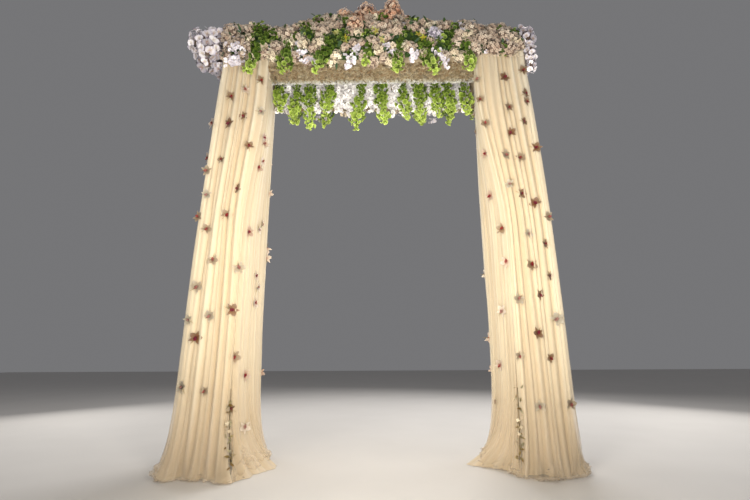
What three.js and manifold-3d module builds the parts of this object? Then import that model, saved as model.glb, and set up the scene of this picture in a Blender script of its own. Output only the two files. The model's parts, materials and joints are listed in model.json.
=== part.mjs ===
// Free-standing wedding canopy: two deep draped sides that carry a flower-laden top.
// Millimetres, +Z up. X runs across the walkway and the front faces -Y.
// The origin is on the floor, in the middle of the walkway.

import * as THREE from 'three';
import { mergeVertices } from 'three/addons/utils/BufferGeometryUtils.js';
import Module from 'manifold-3d';

const wasm = await Module();
wasm.setup();

// Driving dimensions
const GAP = 0.3;                  // between pieces that bear on each other
const HALF_OPENING = 1110;        // walkway centre to the inner drapes
const HALF_DEPTH = 380;           // centre to the front and rear faces
const TOP_HALF_WIDTH = 1400;      // centre to the outer drapes at the top
const BEAM_BOTTOM = 3575;
const BEAM_TOP = 3800;
const BEAM_DEPTH = 260;
const BOARD = 12;                 // boards of the box beams

const POST_SIZE = 50;
const POST_WALL = 3;
const POST_Y = 200;               // posts stand this far in front of and behind the middle
const POST_X = (HALF_OPENING + TOP_HALF_WIDTH) / 2;
const PLATE_SIZE = 240;
const PLATE_THICK = 12;

const CLOTH = 5;                  // thickness of a gathered double layer
const FOLD_DEPTH = 22;            // at the top, where the cloth is gathered on its hoop
const FOLD_SPREAD = 14;           // how much deeper the folds are at the floor
const END_FLAT = 25;              // plain edge beside each corner
const CORNER_CLEAR = 3;           // between the edges of two drapes that meet at a corner
const NARROW_FOLDS = 4;
const WIDE_FOLDS = 7;
const HEADER = 80;                // straight stretch of the inner drape below its hoop
const INNER_TOP = BEAM_BOTTOM - GAP;
const SKIRT_TOP = 3740;           // the other drapes hang in front of the beams from this height
const DRAPE_FALL = INNER_TOP - HEADER;
const STAND_OFF = GAP + CLOTH + FOLD_DEPTH;
const DRAPED_HALF_WIDTH = TOP_HALF_WIDTH + STAND_OFF;
const DRAPED_HALF_DEPTH = HALF_DEPTH + STAND_OFF;
const ROWS = [0, 90, 250, 600, 1500, DRAPE_FALL];
const STEPS_PER_FOLD = 4;

const LEAN_CURVE = 0.75;
const OUTER_SPREAD = 160;         // how far the outer side leans out over its height
const OUTER_HEM = 115;            // how far its hem kicks out at the floor
const OUTER_REACH = 250;          // and how high up that kick is felt
const FACE_SPREAD = 12;
const FACE_HEM = 55;
const FACE_REACH = 180;
const INNER_SPREAD = 35;
const INNER_START = 1400;
const INNER_CURVE = 1.5;
const INNER_HEM = 175;
const INNER_REACH = 200;
const SLIT_HEIGHT = 1000;         // the slit beside the inner drape starts at this height
const SLIT_WIDTH = 130;
const SLIT_CURVE = 1.2;

const HOOP_BAR = 25;
const HOOP_BOTTOM = 3530;
const SLEEVE = 70;
const POST_REST = 1;              // sleeves stop this far inside the hoop's outer faces
const MAT_THICK = 30;             // flower mat under each beam
const MAT_END = 5;                // the mat stops this far short of each draped side
const MAT_EDGE = 3;               // and this far inside the beam's faces
const TIE = 40;                   // tie bars between the two beams
const TIE_X = [-560, 0, 560];
const RAIL = 16;                  // rods that the hanging greens are wired to
const ROD_END = 30;               // a rod runs on this far past its last bunch

const BANK_INNER = 60;            // the flower banks start this far from the middle
const BANK_OUTER = 430;
const TRAY_HEIGHT = 50;
const STATION = 240;              // spacing of the flower heads along a bank
const TOP_HEAD = { y: 235, below: 125, wide: 0.72, deep: 165, high: 125 };
const FACE_HEAD = { y: 420, z: 3790, wide: 0.66, deep: 88, high: 118 };
const WAVE_LENGTH = 83;           // the heads sway along the bank, over this length per radian
const WAVE_SIDE = 30;
const WAVE_UP = 22;
const HEAD_FULL = 1.08;           // corner radius of a head that fills its nominal size
const REAR_LOWER = 45;            // the rear bank is this much lower
const SEAM_X = 480;               // seams between the centre and side banks
const CROWN_SEAT = 4010;          // the crown sits on the centre bank at this height
const CROWN_LEFT = -465;
const CROWN_RIGHT = 335;
const CROWN_CUT = 1;              // the crown is cut this far inside its seat's ends
const END_DEPTH = 80;             // trays of the end clusters stand out this far
const END_HALF = 400;
const END_BOTTOM = 10;            // above the underside of the beams
const BEYOND = 5000;              // farther out than any piece, for cutting blocks
const OVERCUT = 1;                // how far a cutting block runs past the face it cuts
const WELD = 1e-3;                // corners closer than this are one corner

// Height of the flowers along X, left to right
const CREST = [
  [-1720, 3900], [-1480, 4000], [-1120, 4075], [-700, 4015], [-480, 4085], [-260, 4120],
  [180, 4150], [500, 4075], [720, 4000], [1050, 3975], [1400, 3890], [1660, 3830],
];

// Hanging greens: place along X, height of the tip, and how far the tip leans along X
const FRONT_GREENS = [
  [-1010, 3450, -105], [-800, 3425, 0], [-445, 3440, -45], [-40, 3520, 0],
  [270, 3430, -20], [500, 3420, 60], [850, 3470, 25],
];
const WALKWAY_GREENS = [
  [-960, 3320, 10], [-780, 3190, -40], [-640, 3130, 0], [-440, 3270, -60], [-90, 3125, -90],
  [40, 3170, 70], [300, 3220, 30], [470, 3200, 10], [620, 3250, 30], [740, 3220, 40],
  [930, 3280, 55],
];
const LEFT_THIRD = -300;          // greens beyond these places belong to the side pieces
const RIGHT_THIRD = 400;
const GREEN_RADIUS = 58;
const GREEN_SIDES = 6;
const GREEN_PROFILE = [[0, 0], [0.95, 0.12], [0.75, 0.42], [0.85, 0.6], [0.3, 1], [0, 1]];
const GREEN_TOP = 3720;
const FRONT_GREEN_Y = -HALF_DEPTH - 92;
const FRONT_ROD_Y = -HALF_DEPTH - RAIL / 2 - GAP;
const WALKWAY_GREEN_Y = -14;

// Bunches of white blossoms behind them, wired to a batten on the rear beam
const BLOSSOM_BUNCH = { y: 84, z: 3480, wide: 105, deep: 30, high: 175, count: 12, pitch: 180 };
const BLOSSOM_SWING = 25;
const SWING_TURN = 2.1;
const BATTEN_HALF = 1040;
const BATTEN_DEPTH = 40;
const BATTEN_BOTTOM = 3590;

// Room that the flowers on top leave round what stands below them
const DRAPE_ROOM_IN = 10;
const DRAPE_ROOM_OUT = 16;
const DRAPE_ROOM_DEEP = 2;
const DRAPE_ROOM_BOTTOM = 3200;
const GREENS_ROOM = 0.6;

// Flower heads: place and radius, or place and the three half sizes
const CROWN_HEADS = [
  [-355, -300, 4035, 92], [-225, -300, 4075, 105], [-95, -290, 4090, 112], [60, -330, 4110, 118],
  [55, -190, 4080, 110], [190, -270, 4160, 125], [235, -330, 4050, 90],
];
const LEFT_END_HEADS = [
  [-1560, -380, 3760, 150, 120, 150], [-1590, -250, 3700, 115, 130, 150],
  [-1470, -400, 3890, 130, 120, 110], [-1540, -60, 3780, 150, 160, 150],
  [-1480, -180, 3930, 120, 150, 90], [-1540, 210, 3770, 140, 150, 145],
  [-1500, 380, 3740, 130, 120, 130], [-1480, 120, 3910, 120, 170, 90],
  [-1490, -440, 3660, 80, 70, 110],
];
const RIGHT_END_HEADS = [
  [1500, -380, 3760, 140, 115, 130], [1520, -220, 3740, 130, 130, 130],
  [1470, -260, 3850, 110, 150, 90], [1520, 0, 3760, 130, 150, 130],
  [1500, 210, 3760, 140, 150, 140], [1490, 370, 3740, 130, 120, 130],
  [1470, 60, 3860, 110, 160, 80], [1470, -455, 3640, 52, 48, 120],
  [1455, -450, 3470, 44, 44, 120],
];

const finishes = {
  drape: new THREE.MeshStandardMaterial({ color: 0xf0e6cc, roughness: 0.9 }),
  wrap: new THREE.MeshStandardMaterial({ color: 0xe9dcc0, roughness: 0.85 }),
  steel: new THREE.MeshStandardMaterial({ color: 0x6f7276, roughness: 0.45, metalness: 0.8 }),
  mat: new THREE.MeshStandardMaterial({ color: 0x9c9068, roughness: 0.95 }),
  petals: new THREE.MeshStandardMaterial({ color: 0xf1e9e2, roughness: 0.8 }),
  peach: new THREE.MeshStandardMaterial({ color: 0xe8c3a2, roughness: 0.8 }),
  leaves: new THREE.MeshStandardMaterial({ color: 0x6f9a2c, roughness: 0.75 }),
};

const canopy = new THREE.Group();

function piece(name, geometry, material) {
  const mesh = new THREE.Mesh(geometry, material);
  mesh.name = name;
  canopy.add(mesh);
  return mesh;
}

// Solids that are joined or cut

function solid(geometry) {
  const bare = new THREE.BufferGeometry();
  bare.setAttribute('position', geometry.getAttribute('position'));
  if (geometry.index) bare.setIndex(geometry.index);
  const welded = mergeVertices(bare, WELD);
  return new wasm.Manifold(new wasm.Mesh({
    numProp: 3,
    vertProperties: new Float32Array(welded.getAttribute('position').array),
    triVerts: new Uint32Array(welded.index.array),
  }));
}

function surface(body) {
  const mesh = body.getMesh();
  const geometry = new THREE.BufferGeometry();
  const corners = new Float32Array(mesh.vertProperties);
  geometry.setAttribute('position', new THREE.BufferAttribute(corners, 3));
  geometry.setIndex(new THREE.BufferAttribute(new Uint32Array(mesh.triVerts), 1));
  geometry.computeVertexNormals();
  return geometry;
}

function joined(parts) {
  return parts.reduce((whole, part) => whole.add(part));
}

function block(x0, x1, y0, y1, z0, z1) {
  const geometry = new THREE.BoxGeometry(x1 - x0, y1 - y0, z1 - z0);
  geometry.translate((x0 + x1) / 2, (y0 + y1) / 2, (z0 + z1) / 2);
  return solid(geometry);
}

function flowerHead(x, y, z, rx, ry, rz) {
  const geometry = new THREE.DodecahedronGeometry(HEAD_FULL);
  geometry.scale(rx, ry, rz);
  geometry.translate(x, y, z);
  return solid(geometry);
}

function boxTube(length, across, high, wall) {
  const outline = new THREE.Shape();
  outline.moveTo(-across / 2, 0).lineTo(across / 2, 0);
  outline.lineTo(across / 2, high).lineTo(-across / 2, high).closePath();
  const bore = new THREE.Path();
  bore.moveTo(-across / 2 + wall, wall).lineTo(-across / 2 + wall, high - wall);
  bore.lineTo(across / 2 - wall, high - wall).lineTo(across / 2 - wall, wall).closePath();
  outline.holes.push(bore);
  return new THREE.ExtrudeGeometry(outline, { depth: length, bevelEnabled: false });
}

// Drapes: thin folded panels between the corners of each draped side.
// They are laid out for the right-hand side, and mirrored for the left.

function lean(z) {
  return Math.pow(Math.max(0, 1 - z / DRAPE_FALL), LEAN_CURVE);
}

function hem(z, reach) {
  return Math.exp(-z / reach);
}

function outerX(z) {
  return DRAPED_HALF_WIDTH + OUTER_SPREAD * lean(z) + OUTER_HEM * hem(z, OUTER_REACH);
}

function faceY(z) {
  return DRAPED_HALF_DEPTH + FACE_SPREAD * lean(z) + FACE_HEM * hem(z, FACE_REACH);
}

function innerFrontX(z) {
  return HALF_OPENING - INNER_SPREAD * hem(z, FACE_REACH);
}

function innerRearX(z) {
  const low = Math.pow(Math.max(0, 1 - z / INNER_START), INNER_CURVE);
  return HALF_OPENING - INNER_SPREAD * low - INNER_HEM * hem(z, INNER_REACH);
}

const corners = {
  innerFront: (z) => new THREE.Vector2(innerFrontX(z), -faceY(z)),
  outerFront: (z) => new THREE.Vector2(outerX(z), -faceY(z)),
  outerRear: (z) => new THREE.Vector2(outerX(z), faceY(z)),
  innerRear: (z) => new THREE.Vector2(innerRearX(z), faceY(z)),
};

function none() {
  return 0;
}

function butt() {
  return CLOTH + CORNER_CLEAR;
}

function slit(z) {
  return butt() + SLIT_WIDTH * Math.pow(Math.max(0, 1 - z / SLIT_HEIGHT), SLIT_CURVE);
}

function drapePanel(from, to, top, folds, trimFrom, trimTo, mirror) {
  const rows = [...ROWS, top];
  const count = folds * STEPS_PER_FOLD;
  const steps = [0];
  for (let i = 0; i <= count; i += 1) steps.push(i / count);
  steps.push(1);
  const positions = [];
  for (const inside of [0, CLOTH]) {
    for (const z of rows) {
      const a = from(z);
      const b = to(z);
      const along = b.clone().sub(a).normalize();
      const inward = new THREE.Vector2(-along.y, along.x);
      a.addScaledVector(along, trimFrom(z));
      b.addScaledVector(along, -trimTo(z));
      const length = a.distanceTo(b);
      const foldDepth = FOLD_DEPTH + FOLD_SPREAD * lean(z);
      steps.forEach((t, i) => {
        const atEnd = i === 0 || i === steps.length - 1;
        const run = atEnd ? t * length : END_FLAT + t * (length - 2 * END_FLAT);
        const depth = atEnd ? 0 : foldDepth * (1 - Math.cos(2 * Math.PI * folds * t)) / 2;
        const p = a.clone().addScaledVector(along, run).addScaledVector(inward, depth + inside);
        positions.push(mirror * p.x, p.y, z);
      });
    }
  }
  const wide = steps.length;
  const layer = wide * rows.length;
  const index = [];
  const quad = (a, b, c, d) => {
    if (mirror > 0) index.push(a, b, c, a, c, d);
    else index.push(a, c, b, a, d, c);
  };
  for (let j = 0; j < rows.length - 1; j += 1) {
    for (let i = 0; i < wide - 1; i += 1) {
      const p = j * wide + i;
      quad(p, p + 1, p + wide + 1, p + wide);
      quad(layer + p + 1, layer + p, layer + p + wide, layer + p + wide + 1);
    }
    const left = j * wide;
    const right = left + wide - 1;
    quad(left, left + wide, layer + left + wide, layer + left);
    quad(right, layer + right, layer + right + wide, right + wide);
  }
  for (let i = 0; i < wide - 1; i += 1) {
    const last = (rows.length - 1) * wide + i;
    quad(i, layer + i, layer + i + 1, i + 1);
    quad(last, last + 1, layer + last + 1, layer + last);
  }
  const geometry = new THREE.BufferGeometry();
  geometry.setAttribute('position', new THREE.Float32BufferAttribute(positions, 3));
  geometry.setIndex(index);
  geometry.computeVertexNormals();
  return geometry;
}

function drapeHoop(mirror) {
  const x0 = HALF_OPENING + STAND_OFF;
  const x1 = TOP_HALF_WIDTH;
  const y1 = HALF_DEPTH;
  const z0 = HOOP_BOTTOM;
  const z1 = HOOP_BOTTOM + HOOP_BAR;
  const hole = POST_SIZE / 2 + GAP;
  const inside = [x0 + HOOP_BAR, x1 - HOOP_BAR, -y1 + HOOP_BAR, y1 - HOOP_BAR];
  const through = [z0 - OVERCUT, z1 + OVERCUT];
  let hoop = block(x0, x1, -y1, y1, z0, z1).subtract(block(...inside, ...through));
  for (const y of [-POST_Y, POST_Y]) {
    const sleeve = [x0 + POST_REST, x1 - POST_REST, y - SLEEVE / 2, y + SLEEVE / 2];
    hoop = hoop.add(block(...sleeve, z0, z1));
    hoop = hoop.subtract(block(POST_X - hole, POST_X + hole, y - hole, y + hole, ...through));
  }
  return surface(mirror > 0 ? hoop : hoop.mirror([1, 0, 0]));
}

function drapedSide(side, mirror) {
  const { innerFront, outerFront, outerRear, innerRear } = corners;
  const panels = {
    front: [innerFront, outerFront, SKIRT_TOP, NARROW_FOLDS, none, none],
    outer: [outerFront, outerRear, SKIRT_TOP, WIDE_FOLDS, butt, butt],
    rear: [outerRear, innerRear, SKIRT_TOP, NARROW_FOLDS, none, none],
    inner: [innerRear, innerFront, INNER_TOP, WIDE_FOLDS, butt, slit],
  };
  for (const [place, plan] of Object.entries(panels)) {
    piece(`${side}_${place}_drape`, drapePanel(...plan, mirror), finishes.drape);
  }
  piece(`${side}_drape_hoop`, drapeHoop(mirror), finishes.steel);
  for (const [place, y] of [['front', -POST_Y], ['rear', POST_Y]]) {
    const plate = new THREE.BoxGeometry(PLATE_SIZE, PLATE_SIZE, PLATE_THICK);
    piece(`${side}_${place}_base_plate`, plate, finishes.steel)
      .position.set(mirror * POST_X, y, PLATE_THICK / 2);
    const height = BEAM_BOTTOM - PLATE_THICK - 2 * GAP;
    const tube = boxTube(height, POST_SIZE, POST_SIZE, POST_WALL);
    piece(`${side}_${place}_post`, tube, finishes.steel)
      .position.set(mirror * POST_X, y - POST_SIZE / 2, PLATE_THICK + GAP);
  }
}

// The top: two box beams, joined at their ends and by tie bars

function beams() {
  const high = BEAM_TOP - BEAM_BOTTOM;
  const middle = HALF_DEPTH - BEAM_DEPTH / 2;
  for (const [place, y] of [['front', -middle], ['rear', middle]]) {
    const tube = boxTube(2 * TOP_HALF_WIDTH, BEAM_DEPTH, high, BOARD);
    const beam = piece(`${place}_beam`, tube, finishes.wrap);
    beam.rotation.set(Math.PI / 2, Math.PI / 2, 0);
    beam.position.set(-TOP_HALF_WIDTH, y, BEAM_BOTTOM);
    const length = 2 * (HALF_OPENING - MAT_END);
    const mat = new THREE.BoxGeometry(length, BEAM_DEPTH - 2 * MAT_EDGE, MAT_THICK);
    piece(`${place}_soffit_mat`, mat, finishes.mat)
      .position.set(0, y, BEAM_BOTTOM - GAP - MAT_THICK / 2);
  }
  const between = HALF_DEPTH - BEAM_DEPTH - GAP;
  const endWide = TOP_HALF_WIDTH - HALF_OPENING;
  for (const [side, mirror] of [['left', -1], ['right', 1]]) {
    const tube = boxTube(2 * between, endWide, high, BOARD);
    const end = piece(`${side}_end_beam`, tube, finishes.wrap);
    end.rotation.set(Math.PI / 2, 0, 0);
    end.position.set(mirror * POST_X, between, BEAM_BOTTOM);
  }
  TIE_X.forEach((x, i) => {
    const tie = new THREE.BoxGeometry(TIE, 2 * between, TIE);
    piece(`tie_bar_${i + 1}`, tie, finishes.steel)
      .position.set(x, 0, GREEN_TOP + GAP + TIE / 2);
  });
}

// Hanging greens: tapering bunches wired to a rod

function greenBunch(x, y, tipZ, leanX, extra) {
  const r = GREEN_RADIUS + extra;
  const fall = GREEN_TOP - tipZ + 2 * extra;
  const outline = GREEN_PROFILE.map(([across, up]) => new THREE.Vector2(across * r, up * fall));
  const geometry = new THREE.LatheGeometry(outline, GREEN_SIDES);
  geometry.rotateX(Math.PI / 2);
  const shear = new THREE.Matrix4();
  shear.set(1, 0, -leanX / fall, leanX, 0, 1, 0, 0, 0, 0, 1, 0, 0, 0, 0, 1);
  geometry.applyMatrix4(shear);
  geometry.translate(x, y, tipZ - extra);
  return solid(geometry);
}

function greens(list, y, railY, extra) {
  const half = RAIL / 2 + extra;
  const end = ROD_END + extra;
  const xs = list.map(([x]) => x);
  const heights = [GREEN_TOP - RAIL - extra, GREEN_TOP + extra];
  const depths = [Math.min(y, railY) - half, Math.max(y, railY) + half];
  const rod = block(Math.min(...xs) - end, Math.max(...xs) + end, railY - half, railY + half, ...heights);
  const hooks = list.map(([x]) => block(x - half, x + half, ...depths, ...heights));
  const bunches = list.map(([x, tip, leanX]) => greenBunch(x, y, tip, leanX, extra));
  return joined([rod, ...hooks, ...bunches]);
}

function thirds(list) {
  return [
    ['left', list.filter(([x]) => x < LEFT_THIRD)],
    ['centre', list.filter(([x]) => x >= LEFT_THIRD && x < RIGHT_THIRD)],
    ['right', list.filter(([x]) => x >= RIGHT_THIRD)],
  ];
}

function hangingGreens() {
  for (const [place, list] of thirds(FRONT_GREENS)) {
    const bunches = greens(list, FRONT_GREEN_Y, FRONT_ROD_Y, 0);
    piece(`front_greens_${place}`, surface(bunches), finishes.leaves);
  }
  for (const [place, list] of thirds(WALKWAY_GREENS)) {
    const bunches = greens(list, WALKWAY_GREEN_Y, WALKWAY_GREEN_Y, 0);
    piece(`walkway_greens_${place}`, surface(bunches), finishes.leaves);
  }
  const behind = greens(FRONT_GREENS, FRONT_GREEN_Y, FRONT_ROD_Y, 0).rotate([0, 0, 180]);
  piece('rear_greens', surface(behind), finishes.leaves);
}

function walkwayBlossoms() {
  const face = HALF_DEPTH - BEAM_DEPTH - GAP;
  const { y, z, wide, deep, high, count, pitch } = BLOSSOM_BUNCH;
  const batten = [-BATTEN_HALF, BATTEN_HALF, face - BATTEN_DEPTH, face];
  const parts = [block(...batten, BATTEN_BOTTOM, BATTEN_BOTTOM + RAIL)];
  for (let i = 0; i < count; i += 1) {
    const x = (i - (count - 1) / 2) * pitch;
    const drop = BLOSSOM_SWING * Math.sin(i * SWING_TURN);
    parts.push(flowerHead(x, y, z + drop, wide, deep, high));
  }
  return joined(parts);
}

// Flower banks on top of the beams

function crest(x) {
  const last = CREST.length - 1;
  const next = Math.min(last, Math.max(1, CREST.findIndex(([cx]) => cx >= x)));
  const [x0, z0] = CREST[next - 1];
  const [x1, z1] = CREST[next];
  return z0 + (z1 - z0) * THREE.MathUtils.clamp((x - x0) / (x1 - x0), 0, 1);
}

function bank(x0, x1, toward, lower) {
  const near = toward * BANK_INNER;
  const far = toward * BANK_OUTER;
  const tray = [x0, x1, Math.min(near, far), Math.max(near, far)];
  const parts = [block(...tray, BEAM_TOP + GAP, BEAM_TOP + TRAY_HEIGHT)];
  const top = TOP_HEAD;
  const face = FACE_HEAD;
  const count = Math.ceil((x1 - x0) / STATION);
  const pitch = (x1 - x0) / count;
  for (let i = 0; i < count; i += 1) {
    const x = x0 + (i + 0.5) * pitch;
    const wave = Math.sin(x / WAVE_LENGTH);
    const side = WAVE_SIDE * wave;
    const topPlace = [x, toward * (top.y + side), crest(x) - lower - top.below];
    const facePlace = [x + side, toward * face.y, face.z + WAVE_UP * wave];
    parts.push(flowerHead(...topPlace, pitch * top.wide, top.deep, top.high));
    parts.push(flowerHead(...facePlace, pitch * face.wide, face.deep, face.high));
  }
  return joined(parts);
}

const beamEnvelope = joined([-1, 1].map((toward) => {
  const near = toward * (HALF_DEPTH - BEAM_DEPTH - GAP);
  const far = toward * (HALF_DEPTH + GAP);
  return block(-TOP_HALF_WIDTH - GAP, TOP_HALF_WIDTH + GAP, Math.min(near, far),
    Math.max(near, far), BEAM_BOTTOM - GAP, BEAM_TOP + GAP);
}));

const slotHalf = HALF_DEPTH - BEAM_DEPTH + OVERCUT;
const topEnvelope = block(-TOP_HALF_WIDTH - GAP, TOP_HALF_WIDTH + GAP, -slotHalf, slotHalf,
  BEAM_BOTTOM - GAP, BEAM_TOP + GAP);

const drapeEnvelope = joined([-1, 1].map((mirror) => {
  const a = mirror * (HALF_OPENING - DRAPE_ROOM_IN);
  const b = mirror * (DRAPED_HALF_WIDTH + DRAPE_ROOM_OUT);
  const y = DRAPED_HALF_DEPTH + DRAPE_ROOM_DEEP;
  return block(Math.min(a, b), Math.max(a, b), -y, y, DRAPE_ROOM_BOTTOM, SKIRT_TOP + GAP);
}));

const frontGreensRoom = greens(FRONT_GREENS, FRONT_GREEN_Y, FRONT_ROD_Y, GREENS_ROOM);
const greensEnvelope = joined([frontGreensRoom, frontGreensRoom.rotate([0, 0, 180])]);

function trimmed(body, x0, x1) {
  return body
    .intersect(block(x0, x1, -BEYOND, BEYOND, 0, BEYOND))
    .subtract(beamEnvelope)
    .subtract(topEnvelope)
    .subtract(drapeEnvelope)
    .subtract(greensEnvelope);
}

function flowerBanks() {
  const seams = [-TOP_HALF_WIDTH, -SEAM_X, SEAM_X, TOP_HALF_WIDTH];
  const names = ['left', 'centre', 'right'];
  for (const [place, toward, lower] of [['front', -1, 0], ['rear', 1, REAR_LOWER]]) {
    names.forEach((name, i) => {
      const x0 = seams[i] + GAP / 2;
      const x1 = seams[i + 1] - GAP / 2;
      let body = trimmed(bank(x0, x1, toward, lower), x0, x1);
      if (place === 'front' && name === 'centre') {
        const seat = block(CROWN_LEFT, CROWN_RIGHT, -BEYOND, 0, CROWN_SEAT - GAP, BEYOND);
        body = body.subtract(seat);
      }
      piece(`${place}_flower_bank_${name}`, surface(body), finishes.petals);
    });
  }
}

function crown() {
  const body = joined(CROWN_HEADS.map(([x, y, z, r]) => flowerHead(x, y, z, r, r, r)));
  const ends = [CROWN_LEFT + CROWN_CUT, CROWN_RIGHT - CROWN_CUT];
  return body.intersect(block(...ends, -BEYOND, BEYOND, CROWN_SEAT, BEYOND));
}

function endCluster(mirror, heads) {
  const a = mirror * (TOP_HALF_WIDTH + 2 * GAP);
  const b = mirror * (TOP_HALF_WIDTH + END_DEPTH);
  const tray = [Math.min(a, b), Math.max(a, b), -END_HALF, END_HALF];
  const parts = [block(...tray, BEAM_BOTTOM + END_BOTTOM, BEAM_TOP + TRAY_HEIGHT)];
  for (const head of heads) parts.push(flowerHead(...head));
  const edge = mirror * BEYOND;
  return trimmed(joined(parts), Math.min(a, edge), Math.max(a, edge));
}

drapedSide('left', -1);
drapedSide('right', 1);
beams();
hangingGreens();
piece('walkway_blossoms', surface(walkwayBlossoms()), finishes.petals);
flowerBanks();
piece('centre_crown', surface(crown()), finishes.peach);
piece('left_end_flowers', surface(endCluster(-1, LEFT_END_HEADS)), finishes.petals);
piece('right_end_flowers', surface(endCluster(1, RIGHT_END_HEADS)), finishes.petals);

export default canopy;
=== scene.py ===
"""The looks of a wedding canopy: gathered cloth, flowers, hanging greens and finishes over its frame."""

import json
import math

import bpy
import numpy as np
from bpy.props import FloatProperty, FloatVectorProperty, IntProperty, PointerProperty
from mathutils import Matrix, Vector
from mathutils.bvhtree import BVHTree

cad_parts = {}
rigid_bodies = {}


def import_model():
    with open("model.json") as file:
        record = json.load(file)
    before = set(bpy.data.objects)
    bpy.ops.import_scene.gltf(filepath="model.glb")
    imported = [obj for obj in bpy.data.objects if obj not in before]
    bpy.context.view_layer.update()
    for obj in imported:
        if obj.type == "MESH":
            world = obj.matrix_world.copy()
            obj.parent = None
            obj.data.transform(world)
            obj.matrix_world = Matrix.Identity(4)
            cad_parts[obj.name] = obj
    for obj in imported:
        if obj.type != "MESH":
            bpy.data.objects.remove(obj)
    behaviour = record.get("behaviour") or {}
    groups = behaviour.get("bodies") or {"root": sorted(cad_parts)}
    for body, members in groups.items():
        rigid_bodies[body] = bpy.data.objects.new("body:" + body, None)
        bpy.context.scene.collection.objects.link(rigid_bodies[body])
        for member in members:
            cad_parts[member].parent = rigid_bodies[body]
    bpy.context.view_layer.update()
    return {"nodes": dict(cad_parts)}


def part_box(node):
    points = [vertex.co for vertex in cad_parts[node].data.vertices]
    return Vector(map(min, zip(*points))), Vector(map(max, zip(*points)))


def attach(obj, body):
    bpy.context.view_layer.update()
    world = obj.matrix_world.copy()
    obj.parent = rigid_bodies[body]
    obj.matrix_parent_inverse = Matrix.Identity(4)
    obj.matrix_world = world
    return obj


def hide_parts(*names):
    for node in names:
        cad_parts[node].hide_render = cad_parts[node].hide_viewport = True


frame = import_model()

bl_info = {
    "name": "Draped wedding canopy",
    "version": (1, 0, 0),
    "blender": (4, 5, 0),
    "location": "View3D > Sidebar > Canopy",
    "description": "Builds the cloth, flowers, hanging greens and finishes of a free-standing wedding canopy",
    "category": "Object",
}

BODY = "root"
SIDES = (("left", -1), ("right", 1))

# Sizes taken from the frame, in metres
BEAM_LOW, BEAM_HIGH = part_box("front_beam")
TOP_HALF_WIDTH = BEAM_HIGH.x
HALF_DEPTH = -BEAM_LOW.y
BEAM_BOTTOM = BEAM_LOW.z
HALF_OPENING = -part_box("left_end_beam")[1].x
SKIRT_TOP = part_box("left_front_drape")[1].z
INNER_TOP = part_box("left_inner_drape")[1].z
MAT_HALF, MAT_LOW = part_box("front_soffit_mat")[1].x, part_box("front_soffit_mat")[0].z
GREEN_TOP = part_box("walkway_greens_centre")[1].z
GREEN_HALF = 0.058
FRONT_GREEN_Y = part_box("front_greens_left")[0].y + GREEN_HALF
WALKWAY_GREEN_Y = sum(corner.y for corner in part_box("walkway_greens_centre")) / 2

# The drapes spread from the foot of their gathered heading down
HEADING = 0.080
DRAPE_FALL = INNER_TOP - HEADING

# How the draped sides stand off the beams, lean, and kick out at their hems
STAND_OFF = 0.0273
OUTER_SPREAD, OUTER_HEM, OUTER_REACH = 0.160, 0.100, 0.250
INNER_SPREAD, INNER_HEM, INNER_REACH = 0.035, 0.120, 0.200
FACE_SPREAD, FACE_HEM, FACE_REACH = 0.012, 0.020, 0.180
INNER_START = 1.400
SLIT_HEIGHT, SLIT_WIDTH, SLIT_CLOSED = 1.000, 0.040, 0.130

# The front edge of the inner drape swings this far over the walkway near the top
CORNER_SWING = {"left": 0.130, "right": 0.165}
SWING_START, SWING_FULL = 1.900, 3.350

# The camera: its place, its angles in degrees, and its focal length in pixels
# of a picture that is 750 wide and 500 high
CAMERA_PLACE = Vector((0.054, -3.945, 0.930))
CAMERA_PITCH, CAMERA_YAW, CAMERA_ROLL = 13.30, 0.74, -0.29
PICTURE_WIDTH, PICTURE_HEIGHT, FOCAL_PIXELS = 750, 500, 434.1
SENSOR_WIDTH_MM = 36.0

# Pixels of the blossoms sewn to each draped side, in that picture
BLOSSOM_PIXELS = {
    "left": [
        (261, 81), (245, 90), (231, 97), (261, 112), (244, 117), (230, 124), (249, 146), (264, 144),
        (222, 160), (207, 171), (258, 168), (272, 163), (238, 189), (207, 195), (269, 193), (227, 215),
        (199, 217), (207, 229), (248, 232), (261, 224), (213, 260), (239, 268), (255, 276), (257, 287),
        (197, 287), (254, 303), (210, 316), (232, 310), (189, 320), (196, 338), (234, 357), (244, 375),
        (183, 387), (205, 391), (232, 408), (244, 427), (209, 118), (203, 157), (275, 140), (268, 230),
        (266, 258), (198, 216),
    ],
    "right": [
        (504, 78), (477, 80), (525, 94), (480, 100), (508, 108), (475, 114), (523, 122), (485, 124),
        (477, 132), (511, 133), (536, 148), (486, 154), (505, 155), (520, 158), (510, 184), (521, 194),
        (491, 196), (535, 203), (548, 217), (502, 229), (528, 234), (544, 244), (507, 262), (531, 265),
        (549, 276), (518, 299), (539, 295), (503, 311), (557, 319), (537, 333), (519, 356), (550, 358),
        (501, 365), (540, 406), (570, 404), (491, 401), (523, 71), (526, 102),
    ],
}

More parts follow.
